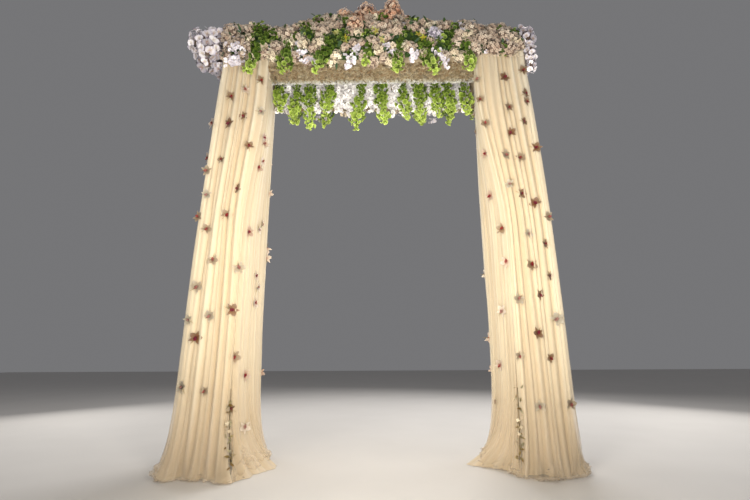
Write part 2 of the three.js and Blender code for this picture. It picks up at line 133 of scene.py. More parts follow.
# Flower heads of the front bank: kind, pixel, and radius in pixels
FLOWER_SPOTS = [
    ("rose_and_shade", 221, 23, 8), ("rose_and_shade", 232, 30, 10), ("rose_and_shade", 246, 26, 7), ("rose_and_shade", 240, 41, 8),
    ("rose_and_shade", 288, 33, 10), ("rose_and_shade", 276, 47, 8), ("cream", 272, 55, 6), ("rose_and_shade", 306, 22, 8),
    ("rose_and_shade", 327, 17, 8), ("rose_and_shade", 322, 29, 10), ("cream", 320, 44, 9), ("cream", 303, 43, 7),
    ("cream", 336, 55, 6), ("rose_and_shade", 385, 36, 8), ("cream", 379, 50, 7), ("rose_and_shade", 397, 28, 9),
    ("rose_and_shade", 414, 26, 7), ("rose_and_shade", 424, 22, 6), ("lavender", 434, 33, 9), ("rose_and_shade", 445, 26, 7),
    ("rose_and_shade", 470, 27, 9), ("rose_and_shade", 482, 37, 10), ("rose_and_shade", 476, 48, 8), ("rose_and_shade", 495, 46, 10),
    ("rose_and_shade", 504, 34, 9), ("rose_and_shade", 511, 48, 8), ("rose_and_shade", 492, 29, 8), ("rose_and_shade", 457, 42, 7),
    ("green", 258, 36, 9), ("green", 272, 35, 9), ("green", 264, 30, 8), ("green", 307, 33, 9),
    ("green", 327, 41, 7), ("green", 342, 36, 9), ("green", 368, 35, 7), ("green", 406, 34, 9),
    ("green", 446, 37, 9), ("green", 438, 46, 7), ("green", 423, 43, 5), ("green", 452, 47, 6),
    ("orchid", 262, 23, 7), ("orchid", 236, 51, 9), ("orchid", 233, 62, 8), ("orchid", 299, 52, 6),
    ("orchid", 303, 62, 4), ("orchid", 355, 50, 7), ("orchid", 350, 60, 6), ("orchid", 348, 67, 4),
    ("orchid", 392, 50, 5), ("orchid", 412, 56, 6), ("orchid", 438, 54, 5), ("orchid", 444, 64, 5),
    ("orchid", 460, 30, 6), ("orchid", 490, 28, 4), ("orchid", 312, 62, 4), ("orchid", 386, 45, 4),
    ("star", 336, 36, 7), ("star", 344, 40, 5), ("star", 376, 33, 7), ("star", 382, 38, 5),
    ("star", 420, 38, 7),
]

# Hanging greens: place along X, height of the tip, and how far the tip leans along X
FRONT_GREENS = [
    (-1.010, 3.460, -0.140), (-0.787, 3.435, -0.040), (-0.400, 3.440, -0.130), (-0.044, 3.510, -0.030),
    (0.265, 3.430, -0.050), (0.475, 3.420, 0.095), (0.860, 3.450, 0.020),
]
WALKWAY_GREENS = [
    (-0.960, 3.320, 0.010), (-0.780, 3.190, -0.040), (-0.640, 3.130, 0.0), (-0.440, 3.270, -0.060),
    (-0.090, 3.125, -0.090), (0.040, 3.170, 0.070), (0.300, 3.220, 0.030), (0.470, 3.200, 0.010),
    (0.620, 3.250, 0.030), (0.740, 3.220, 0.040), (0.900, 3.280, 0.040),
]

# Where the random draws of each kind of piece start, counted from the seed
DRAWS_START = {
    "folds": 0, "garland": 60, "sewn": 90, "greens": 200, "banks": 300, "crown": 400, "ends": 500,
    "strings": 600, "beams": 700, "mats": 800,
}
RIGHT_FOLDS = 500

# Height of the flowers along X, left to right
CREST = [
    (-1.720, 3.900), (-1.540, 4.040), (-1.330, 4.070), (-1.130, 4.110), (-0.890, 4.030), (-0.690, 4.110),
    (-0.490, 4.190), (0.200, 4.190), (0.360, 4.130), (0.500, 4.120), (0.600, 4.080), (0.800, 4.110),
    (0.950, 4.090), (1.080, 4.010), (1.200, 4.050), (1.300, 3.980), (1.400, 3.920), (1.660, 3.830),
]


def measure(name, words, value, low, high):
    return FloatProperty(name=name, description=words, default=value, min=low, max=high, unit="LENGTH")


def colour(name, words, value):
    return FloatVectorProperty(
        name=name, description=words, default=value, min=0, max=1, size=3, subtype="COLOR")


class CanopySizes(bpy.types.PropertyGroup):
    """Sizes of the cloth, flowers and greens"""

    fold_depth: measure("Fold depth", "Depth of the folds halfway down the drapes", 0.040, 0.005, 0.08)
    hem_roll: measure("Hem roll", "Height of the roll of cloth at the foot of the drapes", 0.075, 0.02, 0.15)
    blossom_width: measure("Sewn blossom", "Width of the blossoms sewn to the drapes", 0.104, 0.03, 0.15)
    floret_width: measure("Floret", "Width of one floret of a round head", 0.030, 0.01, 0.06)
    orchid_width: measure("Orchid", "Width of one orchid of the end clusters", 0.094, 0.04, 0.15)
    bell_width: measure("Green bell", "Width of one bell of the hanging greens", 0.044, 0.01, 0.08)
    leaf_length: measure("Leaf", "Length of the dark leaves between the flowers", 0.075, 0.02, 0.2)
    seed: IntProperty(name="Seed", description="Start of every random choice", default=7, min=0)


class CanopyColours(bpy.types.PropertyGroup):
    """Colours of the cloth, flowers, greens and frame"""

    cloth_high: colour("Cloth, top", "Cloth near the top", (0.80, 0.76, 0.64))
    cloth_mid: colour("Cloth, middle", "Cloth halfway down", (0.89, 0.81, 0.63))
    cloth_low: colour("Cloth, hem", "Cloth near the floor", (0.80, 0.68, 0.52))
    # Painted shade: the colour the cloth darkens to in the valleys of its folds and in its streaks
    cloth_valley_shade: colour("Cloth, valleys", "Depths of the folds", (0.60, 0.47, 0.30))
    wrap: colour("Beam cloth", "Cloth pulled over the beams", (0.46, 0.37, 0.25))
    white: colour("White petals", "White florets and orchids", (0.82, 0.80, 0.80))
    lavender: colour("Lavender petals", "Edges of the orchids and lavender heads", (0.58, 0.53, 0.66))
    cream: colour("Cream petals", "Cream heads", (0.72, 0.62, 0.46))
    # The dusky rose-cream of the heads is partly their own tone and partly painted shade
    rose_and_shade: colour("Dusty petals", "Dusty cream-rose heads", (0.54, 0.425, 0.335))
    # The peach of the crown is partly the heads' own blush and partly a painted warm tint of light on them
    peach: colour("Peach petals", "Heads of the crown", (0.70, 0.44, 0.30))
    # The two blush tones are shaded and lit copies of one petal: painted shade on blossoms that face the
    # front, painted light on those that face sideways
    blush: colour("Blush petals", "Petals of the sewn blossoms", (0.235, 0.165, 0.095))
    lit_pale_blush: colour("Pale blush petals", "Sewn blossoms that face sideways", (0.42, 0.32, 0.24))
    heart: colour("Red heart", "Heart of the sewn blossoms", (0.17, 0.018, 0.014))
    star: colour("Yellow-green petals", "Star orchids of the banks", (0.42, 0.40, 0.09))
    # The lime rims and pale lime tips are partly the greens' own colour and partly painted highlight
    lime: colour("Lime", "Rims of the hanging greens", (0.46, 0.62, 0.09))
    lime_tip_highlight: colour("Pale lime", "Tips of the hanging greens", (0.78, 0.88, 0.34))
    green: colour("Green", "Bells of the hanging greens", (0.044, 0.084, 0.010))
    leaf: colour("Leaf", "Dark leaves between the flowers", (0.025, 0.065, 0.014))
    moss: colour("Moss", "Ground of the flower mats", (0.17, 0.13, 0.07))
    steel: colour("Steel", "Posts, plates, hoops and tie bars", (0.11, 0.115, 0.12))


# Shapes held as arrays

FULL_TURN = 6.28
BELL_SIDES, BALL_SIDES, BALL_RINGS, STEM_SIDES = 6, 8, 5, 6


class Shape:
    """Points and faces, with a value along each petal or leaf and a random pick for each flower."""

    def __init__(self, points, faces, along=None, slot=0):
        self.points = np.asarray(points, float)
        self.faces = [np.asarray(f, int) for f in faces if len(f)]
        count = len(self.points)
        self.along = np.zeros(count) if along is None else np.asarray(along, float)
        self.pick = np.zeros(count)
        self.slots = [np.full(len(f), slot) for f in self.faces]

    def moved(self, matrix, offset=(0, 0, 0)):
        points = self.points @ np.asarray(matrix, float).T + np.asarray(offset, float)
        other = Shape(points, self.faces, self.along)
        other.pick, other.slots = self.pick, self.slots
        return other


def joined(shapes):
    points, faces, slots, start = [], [], [], 0
    for s in shapes:
        points.append(s.points)
        faces += [f + start for f in s.faces]
        slots += s.slots
        start += len(s.points)
    whole = Shape(np.concatenate(points), faces, np.concatenate([s.along for s in shapes]))
    whole.pick = np.concatenate([s.pick for s in shapes])
    whole.slots = slots
    return whole


def draws(sizes, kind, step=0):
    """The random draws of one kind of piece; a step keeps like pieces apart."""
    return np.random.default_rng(sizes.seed + DRAWS_START[kind] + step)


def scattered(template, places, facing, spins, widths, rng, picks=None):
    """Copies of a template in one shape, each with its +Z turned to a facing and spun about it."""
    places, facing = np.asarray(places, float), np.asarray(facing, float)
    count = len(places)
    z = facing / np.linalg.norm(facing, axis=1, keepdims=True)
    helper = np.where(np.abs(z[:, 2:3]) < 0.9, [[0.0, 0.0, 1.0]], [[1.0, 0.0, 0.0]])
    x = np.cross(helper, z)
    x /= np.linalg.norm(x, axis=1, keepdims=True)
    y = np.cross(z, x)
    c, s = np.cos(spins)[:, None], np.sin(spins)[:, None]
    turned = np.stack([x * c + y * s, y * c - x * s, z], axis=2)
    local = template.points[None, :, :] * np.asarray(widths, float).reshape(-1, 1, 1)
    points = np.einsum("nij,nkj->nki", turned, local) + places[:, None, :]
    size = len(template.points)
    shifts = (size * np.arange(count))[:, None, None]
    faces = [(f[None] + shifts).reshape(-1, f.shape[1]) for f in template.faces]
    whole = Shape(points.reshape(-1, 3), faces, np.tile(template.along, count))
    whole.pick = np.repeat(rng.random(count) if picks is None else picks, size)
    whole.slots = [np.tile(s, count) for s in template.slots]
    return whole


def strewn(template, places, facing, width, shares, rng, picks=None):
    """Copies of a template with random spins, and widths between two shares of a width."""
    spins = rng.uniform(0, FULL_TURN, len(places))
    widths = width * rng.uniform(*shares, len(places))
    return scattered(template, places, facing, spins, widths, rng, picks)


def grid_faces(rows, columns, flip=False):
    """Quads between the points of a grid."""
    i, j = np.meshgrid(np.arange(rows - 1), np.arange(columns - 1), indexing="ij")
    a = (i * columns + j).ravel()
    quads = np.stack([a, a + 1, a + columns + 1, a + columns], axis=1)
    return quads[:, ::-1] if flip else quads


def ring(radius, z, sides):
    """Points of a level circle."""
    angles = [2 * math.pi * k / sides for k in range(sides)]
    return [(radius * math.cos(a), radius * math.sin(a), z) for a in angles]


def ring_faces(rings, sides, start=0, flip=False):
    """Quads between circles of points that follow each other."""
    quads = []
    for row in range(rings - 1):
        for k in range(sides):
            a, b = (start + row * sides + n for n in (k, (k + 1) % sides))
            quads.append((a, a + sides, b + sides, b) if flip else (a, b, b + sides, a + sides))
    return quads


def make_piece(name, shape, materials, replaces=()):
    """An object of a shape that rides the body, and hides the frame parts that it replaces."""
    mesh = bpy.data.meshes.new(name)
    loops = np.concatenate([f.ravel() for f in shape.faces])
    totals = np.concatenate([np.full(len(f), f.shape[1]) for f in shape.faces])
    starts = np.concatenate([[0], np.cumsum(totals)[:-1]])
    mesh.vertices.add(len(shape.points))
    mesh.vertices.foreach_set("co", shape.points.astype(np.float32).ravel())
    mesh.loops.add(len(loops))
    mesh.loops.foreach_set("vertex_index", loops.astype(np.int32))
    mesh.polygons.add(len(totals))
    mesh.polygons.foreach_set("loop_start", starts.astype(np.int32))
    mesh.polygons.foreach_set("loop_total", totals.astype(np.int32))
    mesh.polygons.foreach_set("material_index", np.concatenate(shape.slots).astype(np.int32))
    mesh.polygons.foreach_set("use_smooth", np.full(len(totals), True))
    for label, values in (("along", shape.along), ("pick", shape.pick)):
        layer = mesh.attributes.new(label, "FLOAT", "POINT")
        layer.data.foreach_set("value", values.astype(np.float32))
    mesh.update(calc_edges=True)
    mesh.validate()
    for material in materials:
        mesh.materials.append(material)
    piece = bpy.data.objects.new(name, mesh)
    bpy.context.scene.collection.objects.link(piece)
    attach(piece, BODY)
    if replaces:
        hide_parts(*replaces)
    return piece


def petal(length, width, cup, rise, rows=4, slot=0, point=0.75):
    """A petal along +X from the middle of a flower, cupped towards +Z, and more pointed as point grows."""
    u = np.linspace(0, 1, rows + 1)
    half = width / 2 * np.sin(np.pi * np.clip(0.08 + 0.92 * u**0.85, 0, 1)) ** point
    points, along = [(0, 0, 0)], [0.0]
    for k in range(1, rows):
        for t in (-1, 0, 1):
            lift = rise * u[k] + cup * (u[k] ** 2 + 0.5 * t * t)
            points.append((u[k] * length, half[k] * t, lift * length))
            along.append(u[k])
    points.append((length, 0, (rise + cup) * length))
    along.append(1.0)
    tip = len(points) - 1
    triangles = [(0, 1, 2), (0, 2, 3), (tip - 3, tip, tip - 2), (tip - 2, tip, tip - 1)]
    quads = []
    for a in range(1, tip - 3):
        if a % 3:
            quads.append((a, a + 3, a + 4, a + 1))
    return Shape(points, [triangles, quads], along, slot)


def flower(petals):
    """Petals in one shape, each turned about the flower's +Z by its own angle in degrees."""
    turned = []
    for shape, degrees in petals:
        c, s = math.cos(math.radians(degrees)), math.sin(math.radians(degrees))
        turned.append(shape.moved([[c, -s, 0], [s, c, 0], [0, 0, 1]]))
    return joined(turned)


def floret_shape():
    """Four broad round petals in one fan, one unit wide."""
    points, along = [(0, 0, 0)], [0.0]
    for k in range(4):
        for degrees, r, z in ((-26, 0.50, 0.10), (0, 0.53, 0.07), (26, 0.50, 0.10), (45, 0.27, 0.01)):
            a = math.radians(90 * k + degrees)
            points.append((r * math.cos(a), r * math.sin(a), z))
            along.append(r / 0.53)
    last = len(points) - 1
    fan = [(0, k, k + 1) for k in range(1, last)] + [(0, last, 1)]
    return Shape(points, [fan], along)


def orchid_shape():
    """Two broad petals, three sepals and a lip, one unit wide."""
    side = petal(0.50, 0.62, 0.10, 0.06, point=0.5)
    sepal = petal(0.47, 0.34, 0.04, -0.04, rows=3)
    lip = petal(0.20, 0.16, 0.35, 0.35, rows=3, slot=1)
    return flower([(side, 8), (side, 172), (sepal, 90), (sepal, 218), (sepal, 322), (lip, 270)])


def star_shape():
    """Five pointed petals and a lip, one unit wide."""
    one = petal(0.50, 0.24, 0.10, 0.10, point=1.0)
    lip = petal(0.24, 0.18, 0.6, 0.5, rows=3)
    return flower([(one, 18 + 72 * k) for k in range(5)] + [(lip, 270)])


def sewn_blossom_shape():
    """Two broad petals, three narrow ones and a deep lip, with a thin stem behind, one unit wide."""
    broad = petal(0.46, 0.36, 0.10, 0.18, point=0.55)
    narrow = petal(0.50, 0.20, 0.04, 0.12)
    lip = petal(0.22, 0.19, 0.20, 0.50, slot=1, point=0.6)
    cup = petal(0.10, 0.13, 0.6, 0.9, rows=3, slot=1)
    stem = petal(0.62, 0.05, -0.10, -0.03, slot=2, point=1.0)
    petals = [(broad, 22), (broad, 158), (narrow, 90), (narrow, 222), (narrow, 318), (lip, 270), (stem, 250)]
    return flower(petals + [(cup, degrees) for degrees in (20, 90, 160, 230, 310)])


def leaf_shape():
    """A pointed leaf along +X, bent up at its middle, with its face towards +Z, one unit long."""
    return petal(1.0, 0.42, 0.12, -0.10, point=1.0)


def in_slot(shape, slot):
    shape.slots = [np.full(len(f), slot) for f in shape.faces]
    return shape


def bell_shape():
    """A flared cup that opens towards +Z, one unit wide."""
    depth = 0.42
    rings = ((0.10, 0.0), (0.30, 0.28), (0.52, depth))
    points, along = [], []
    for radius, z in rings:
        points += ring(radius, z, BELL_SIDES)
        along += [z / depth] * BELL_SIDES
    return Shape(points, [ring_faces(len(rings), BELL_SIDES)], along)


def ball_shape(radius, squash=1.0):
    """A plain closed core inside a flower head."""
    top = radius * squash
    points = [(0, 0, top)]
    for i in range(1, BALL_RINGS):
        polar = math.pi * i / BALL_RINGS
        points += ring(radius * math.sin(polar), top * math.cos(polar), BALL_SIDES)
    points.append((0, 0, -top))
    last = len(points) - 1
    triangles = []
    for k in range(BALL_SIDES):
        n = (k + 1) % BALL_SIDES
        triangles += [(0, 1 + k, 1 + n), (last, last - BALL_SIDES + n, last - BALL_SIDES + k)]
    return Shape(points, [triangles, ring_faces(BALL_RINGS - 1, BALL_SIDES, 1, True)])


def sphere_spread(count, rng, low):
    """Even directions over a ball, from its top down to a lowest height."""
    golden = math.pi * (3 - math.sqrt(5))
    k = np.arange(count) + 0.5
    z = 1 - (1 - low) * k / count
    a = k * golden + rng.random() * 6
    r = np.sqrt(np.clip(1 - z * z, 0, 1))
    return np.stack([r * np.cos(a), r * np.sin(a), z], axis=1)


def stem_shape(path, radius):
    """A round stem through a list of points."""
    path = np.asarray(path, float)
    points = []
    for k, place in enumerate(path):
        ahead = path[min(k + 1, len(path) - 1)] - path[max(k - 1, 0)]
        ahead /= np.linalg.norm(ahead)
        helper = (0.0, 1.0, 0.0) if abs(ahead[1]) < 0.9 else (1.0, 0.0, 0.0)
        x = np.cross(helper, ahead)
        x /= np.linalg.norm(x)
        y = np.cross(ahead, x)
        points += [place + x * cos + y * sin for cos, sin, _ in ring(radius, 0, STEM_SIDES)]
    first, last = tuple(range(STEM_SIDES))[::-1], tuple(range(len(points) - STEM_SIDES, len(points)))
    return Shape(points, [ring_faces(len(path), STEM_SIDES), [first, last]])


# Node groups shared by the finishes

FLOAT, COLOUR = "NodeSocketFloat", "NodeSocketColor"


def new_group(name, inputs, outputs):
    """An empty node group, its input sockets by label and its output sockets by label."""
    tree = bpy.data.node_groups.new(name, "ShaderNodeTree")
    for label, value in inputs.items():
        kind = COLOUR if isinstance(value, tuple) else FLOAT
        socket = tree.interface.new_socket(label, in_out="INPUT", socket_type=kind)
        socket.default_value = value
    for label, kind in outputs.items():
        tree.interface.new_socket(label, in_out="OUTPUT", socket_type=kind)
    return tree, tree.nodes.new("NodeGroupInput").outputs, tree.nodes.new("NodeGroupOutput").inputs


def feed(tree, socket, value):
    """Link a socket to another, or set the number or colour on it."""
    if isinstance(value, bpy.types.NodeSocket):
        tree.links.new(value, socket)
    elif isinstance(value, (int, float)):
        socket.default_value = value
    else:
        socket.default_value = (*value[:3], 1.0)


def math_node(tree, operation, a, b=0.0, clamp=False):
    node = tree.nodes.new("ShaderNodeMath")
    node.operation, node.use_clamp = operation, clamp
    feed(tree, node.inputs[0], a)
    feed(tree, node.inputs[1], b)
    return node.outputs[0]


def mix_colours(tree, factor, a, b):
    node = tree.nodes.new("ShaderNodeMix")
    node.data_type = "RGBA"
    for socket, value in ((0, factor), (6, a), (7, b)):
        feed(tree, node.inputs[socket], value)
    return node.outputs[2]


def attribute(tree, name):
    """A value that the mesh carries at each of its points."""
    node = tree.nodes.new("ShaderNodeAttribute")
    node.attribute_name = name
    return node.outputs["Fac"]


def object_place(tree):
    return tree.nodes.new("ShaderNodeTexCoord").outputs["Object"]


def object_axes(tree):
    """X, Y and Z of the place on the object."""
    split = tree.nodes.new("ShaderNodeSeparateXYZ")
    tree.links.new(object_place(tree), split.inputs[0])
    return split.outputs


def noise(tree, scale, detail=3.0, place=None):
    node = tree.nodes.new("ShaderNodeTexNoise")
    feed(tree, node.inputs["Scale"], scale)
    feed(tree, node.inputs["Detail"], detail)
    tree.links.new(place or object_place(tree), node.inputs["Vector"])
    return node.outputs["Fac"]


def remapped(tree, value, low, high, to_low=0.0, to_high=1.0, ease="LINEAR"):
    node = tree.nodes.new("ShaderNodeMapRange")
    node.interpolation_type = ease
    ends = {"Value": value, "From Min": low, "From Max": high, "To Min": to_low, "To Max": to_high}
    for label, end in ends.items():
        feed(tree, node.inputs[label], end)
    return node.outputs["Result"]


def weave_group():
    """Crossed threads: a height for the bump and a mask that is 1 on the threads."""
    tree, given, out = new_group("Weave", {"Threads per metre": 700.0}, {"Height": FLOAT, "Mask": FLOAT})
    x, y, z = object_axes(tree)
    turn = math_node(tree, "MULTIPLY", given[0], 2 * math.pi)
    across = math_node(tree, "ADD", x, y)
    warp, weft = (math_node(tree, "SINE", math_node(tree, "MULTIPLY", axis, turn)) for axis in (across, z))
    height = math_node(tree, "MULTIPLY", math_node(tree, "ADD", warp, weft), 0.25)
    tree.links.new(math_node(tree, "ADD", height, 0.5), out["Height"])
    rises = [math_node(tree, "ABSOLUTE", thread) for thread in (warp, weft)]
    tree.links.new(math_node(tree, "MAXIMUM", *rises), out["Mask"])
    return tree


def height_blend_group():
    """Three colours that follow each other up the object."""
    black = (0, 0, 0, 1)
    tree, given, out = new_group(
        "Height blend",
        {"Low": black, "Middle": black, "High": black,
         "Low end": 0.1, "Middle start": 0.9, "Middle end": 2.6, "High start": 3.5},
        {"Colour": COLOUR})
    z = object_axes(tree)["Z"]
    first = remapped(tree, z, given["Low end"], given["Middle start"], ease="SMOOTHSTEP")
    second = remapped(tree, z, given["Middle end"], given["High start"], ease="SMOOTHSTEP")
    lower = mix_colours(tree, first, given["Low"], given["Middle"])
    tree.links.new(mix_colours(tree, second, lower, given["High"]), out["Colour"])
    return tree


def mottle_group():
    """Soft uneven colour, as on anything that grew or was handled."""
    tree, given, out = new_group(
        "Mottle",
        {"Colour": (0.5, 0.5, 0.5, 1), "Other": (0.4, 0.4, 0.4, 1), "Scale": 6.0, "Amount": 0.5},
        {"Colour": COLOUR, "Mask": FLOAT})
    mask = remapped(tree, noise(tree, given["Scale"], 4.0), 0.35, 0.65)
    factor = math_node(tree, "MULTIPLY", mask, given["Amount"])
    tree.links.new(mix_colours(tree, factor, given["Colour"], given["Other"]), out["Colour"])
    tree.links.new(mask, out["Mask"])
    return tree


def shade_streaks_group():
    """Long thin streaks of painted shade that run up gathered cloth, in a mask from 0 to 1."""
    tree, given, out = new_group("Streaks", {"Across": 30.0, "Up": 0.45}, {"Mask": FLOAT})
    place = tree.nodes.new("ShaderNodeCombineXYZ")
    walk = math_node(tree, "MULTIPLY", attribute(tree, "pick"), given["Across"])
    tree.links.new(walk, place.inputs["X"])
    tree.links.new(math_node(tree, "MULTIPLY", object_axes(tree)["Z"], given["Up"]), place.inputs["Z"])
    tree.links.new(remapped(tree, noise(tree, 1.0, 3.0, place.outputs[0]), 0.36, 0.64), out["Mask"])
    return tree


def petal_tones_group():
    """Colour from a petal's heart to its rim, a little different on each flower."""
    pale = (0.9, 0.9, 0.9, 1)
    tree, given, out = new_group(
        "Petal tones",
        {"Heart": (0.5, 0.5, 0.2, 1), "Blade": pale, "Rim": pale, "Heart size": 0.35, "Spread": 0.25},
        {"Colour": COLOUR, "Height": FLOAT})
    along = attribute(tree, "along")
    near = remapped(tree, along, 0.0, given["Heart size"], ease="SMOOTHSTEP")
    blade = mix_colours(tree, near, given["Heart"], given["Blade"])
    petals = mix_colours(tree, remapped(tree, along, 0.55, 1.0), blade, given["Rim"])
    tones = tree.nodes.new("ShaderNodeHueSaturation")
    tree.links.new(petals, tones.inputs["Color"])
    off_centre = math_node(tree, "SUBTRACT", attribute(tree, "pick"), 0.5)
    swing = math_node(tree, "MULTIPLY", off_centre, given["Spread"])
    tree.links.new(math_node(tree, "ADD", swing, 1.0), tones.inputs["Value"])
    tree.links.new(math_node(tree, "SUBTRACT", 1.0, swing), tones.inputs["Saturation"])
    tree.links.new(math_node(tree, "ADD", math_node(tree, "MULTIPLY", swing, 0.06), 0.5), tones.inputs["Hue"])
    tree.links.new(tones.outputs[0], out["Colour"])
    veins = math_node(tree, "MULTIPLY", noise(tree, 90.0, 2.0), 0.6)
    tree.links.new(math_node(tree, "ADD", veins, along), out["Height"])
    return tree


def placed_group(tree, name, build, **values):
    """A copy of a shared node group in a material, with its own values."""
    node = tree.nodes.new("ShaderNodeGroup")
    node.node_tree = bpy.data.node_groups.get(name) or build()
    for label, value in values.items():
        feed(tree, node.inputs[label.replace("_", " ").capitalize()], value)
    return node.outputs


def mottled(tree, colour, other, scale, amount):
    return placed_group(tree, "Mottle", mottle_group, colour=colour, other=other, scale=scale, amount=amount)


def woven(tree, threads):
    return placed_group(tree, "Weave", weave_group, threads_per_metre=threads)


def blended(a, b, share):
    """A colour that lies a share of the way from one to the other."""
    return tuple((1 - share) * v + share * w for v, w in zip(a, b))


def scaled(value, share):
    return tuple(min(1.0, share * v) for v in value)


def new_material(name, roughness, **fixed):
    """A material of that name with its tree and shader, or with None for both if it was there already."""
    material = bpy.data.materials.get(name)
    if material:
        return material, None, None
    material = bpy.data.materials.new(name)
    material.use_nodes = True
    shader = material.node_tree.nodes["Principled BSDF"]
    shader.inputs["Roughness"].default_value = roughness
    for label, value in fixed.items():
        shader.inputs[label.replace("_", " ")].default_value = value
    return material, material.node_tree, shader


def painted(tree, shader, colour, with_painted_glow=False):
    tree.links.new(colour, shader.inputs["Base Color"])
    # The colour can also feed emission: a painted glow, not a lamp
    if with_painted_glow:
        tree.links.new(colour, shader.inputs["Emission Color"])


def bumped(tree, shader, height, strength, distance):
    bump = tree.nodes.new("ShaderNodeBump")
    bump.inputs["Strength"].default_value = strength
    bump.inputs["Distance"].default_value = distance
    tree.links.new(height, bump.inputs["Height"])
    tree.links.new(bump.outputs[0], shader.inputs["Normal"])


# Finishes: threads per metre, the painted glow that stands in for the light that cloth passes on,
# and its streaks of painted shade (how many across, how many up, and how dark)
CLOTH_THREADS, WRAP_THREADS, CLOTH_PAINTED_GLOW = 650.0, 500.0, 0.05
CLOTH_SHADE_STREAKS = ((34.0, 0.45, 0.32), (8.0, 0.22, 0.50))


def cloth_finish(name, colours, thin, solid_above, solid_share):
    """Sheer gathered cloth, whose opacity rises from thin at the floor to solid_share at solid_above."""
    material, tree, shader = new_material(
        name, 0.82, Sheen_Weight=0.35, Sheen_Roughness=0.4, Emission_Strength=CLOTH_PAINTED_GLOW)
    if tree is None:
        return material
    valley = colours.cloth_valley_shade
    tones = placed_group(tree, "Height blend", height_blend_group, low=colours.cloth_low,
                         middle=colours.cloth_mid, high=colours.cloth_high)
    # Painted shade: darker towards the deep valleys of the folds, by the fold depth the mesh carries
    fold_shade_share = remapped(tree, attribute(tree, "along"), 0.06, 0.95, 0.0, 0.75)
    shade_streaked = mix_colours(tree, fold_shade_share, tones["Colour"], valley)
    # Painted shade: streaks along the walk mix in more of the valley shade, fine and broad
    for across, up, most in CLOTH_SHADE_STREAKS:
        streaks = placed_group(tree, "Streaks", shade_streaks_group, across=across, up=up)
        shade_streaked = mix_colours(tree, math_node(tree, "MULTIPLY", streaks["Mask"], most), shade_streaked, valley)
    # Painted glow: the cloth colour also shines faintly as emission
    painted(tree, shader, mottled(tree, shade_streaked, valley, 1.6, 0.14)["Colour"], with_painted_glow=True)
    weave = woven(tree, CLOTH_THREADS)
    bumped(tree, shader, weave["Height"], 0.25, 0.0006)
    opacity = remapped(tree, object_axes(tree)["Z"], 0.05, solid_above, thin, solid_share)
    threads = remapped(tree, weave["Mask"], 0.0, 1.0, 0.9, 1.0)
    patches = remapped(tree, noise(tree, 2.5), 0.3, 0.7, 0.92, 1.0)
    both = math_node(tree, "MULTIPLY", math_node(tree, "MULTIPLY", opacity, threads), patches, clamp=True)
    tree.links.new(both, shader.inputs["Alpha"])
    return material


def wrap_finish(colours):
    """Plain cloth with a weave that shows close by."""
    material, tree, shader = new_material("beam cloth", 0.85, Sheen_Weight=0.2)
    if tree is None:
        return material
    painted(tree, shader, mottled(tree, colours.wrap, scaled(colours.wrap, 0.8), 4.0, 0.5)["Colour"])
    bumped(tree, shader, woven(tree, WRAP_THREADS)["Height"], 0.3, 0.0008)
    return material


def petal_finish(name, heart, blade, rim, heart_size=0.3, spread=0.25, painted_glow=0.0):
    """Petals that change from heart to rim, and from flower to flower by a spread."""
    # The glow value makes the petals shine as emission, a painted glow
    material, tree, shader = new_material(name, 0.55, Sheen_Weight=0.15, Specular_IOR_Level=0.35,
                                          Emission_Strength=painted_glow)
    if tree is None:
        return material
    tones = placed_group(tree, "Petal tones", petal_tones_group, heart=heart, blade=blade, rim=rim,
                         heart_size=heart_size, spread=spread)
    painted(tree, shader, tones["Colour"], with_painted_glow=True)
    bumped(tree, shader, tones["Height"], 0.2, 0.002)
    return material


def lip_finish(colours):
    return petal_finish("orchid lips", (0.45, 0.22, 0.05), colours.lavender, colours.heart)


def rough_finish(name, roughness, tones, scale, amount, grain, strength, distance, **fixed):
    """Two tones that wander into each other over a bumpy grain; a pair of roughnesses follows them."""
    worn = isinstance(roughness, tuple)
    material, tree, shader = new_material(name, roughness[0] if worn else roughness, **fixed)
    if tree is None:
        return material
    uneven = mottled(tree, *tones, scale, amount)
    painted(tree, shader, uneven["Colour"])
    if worn:
        tree.links.new(remapped(tree, uneven["Mask"], 0.0, 1.0, *roughness), shader.inputs["Roughness"])
    bumped(tree, shader, noise(tree, *grain), strength, distance)
    return material


def moss_finish(colours):
    tones = (colours.moss, scaled(colours.moss, 2.2))
    return rough_finish("flower mat ground", 0.95, tones, 60.0, 0.8, (150.0, 4.0), 0.8, 0.01)


def foam_finish(colours):
    tones = (colours.leaf, colours.green)
    return rough_finish("dark foam and stems", 0.95, tones, 25.0, 0.5, (120.0,), 0.7, 0.006)


def steel_finish(colours):
    tones = (colours.steel, scaled(colours.steel, 1.8))
    return rough_finish(
        "powder coat", (0.42, 0.62), tones, 14.0, 0.35, (900.0, 2.0), 0.25, 0.0004, Metallic=0.15)


# Draped sides: one cloth walks round each, over the frame's front, outer, rear and inner drapes

PANELS = ("front", "outer", "rear", "inner")
FOLD_COUNTS, PER_FOLD = (8, 12, 8, 11), 8
FLOOR_GAP, LINING_INSET, RIDGE_OUT = 0.004, 0.028, 0.012

# How deep the second, fine, gathered and broad folds are beside the main ones
SECOND_FOLDS, FINE_FOLDS, GATHERS, BROAD_FOLDS = 0.15, 0.035, 0.35, 0.30

# Where the folds lie flatter: place along the walk, its spread, and how much
# At the outer front corner the flatter folds also take less painted fold shade, so a lighter stripe shows
# there
CALM_INNER, CALM_CORNER = ((3.5, 0.35, 0.45),), ((0.94, 0.07, 0.55),)

# Folds are shallower at the top, flatten at the floor, and keep clear of the beams
TOP_FOLDS, FLAT_AT_FLOOR, FLAT_REACH = 0.62, 0.30, 0.20
BEAM_CLEAR, BEAM_NEAR = 0.004, 0.25

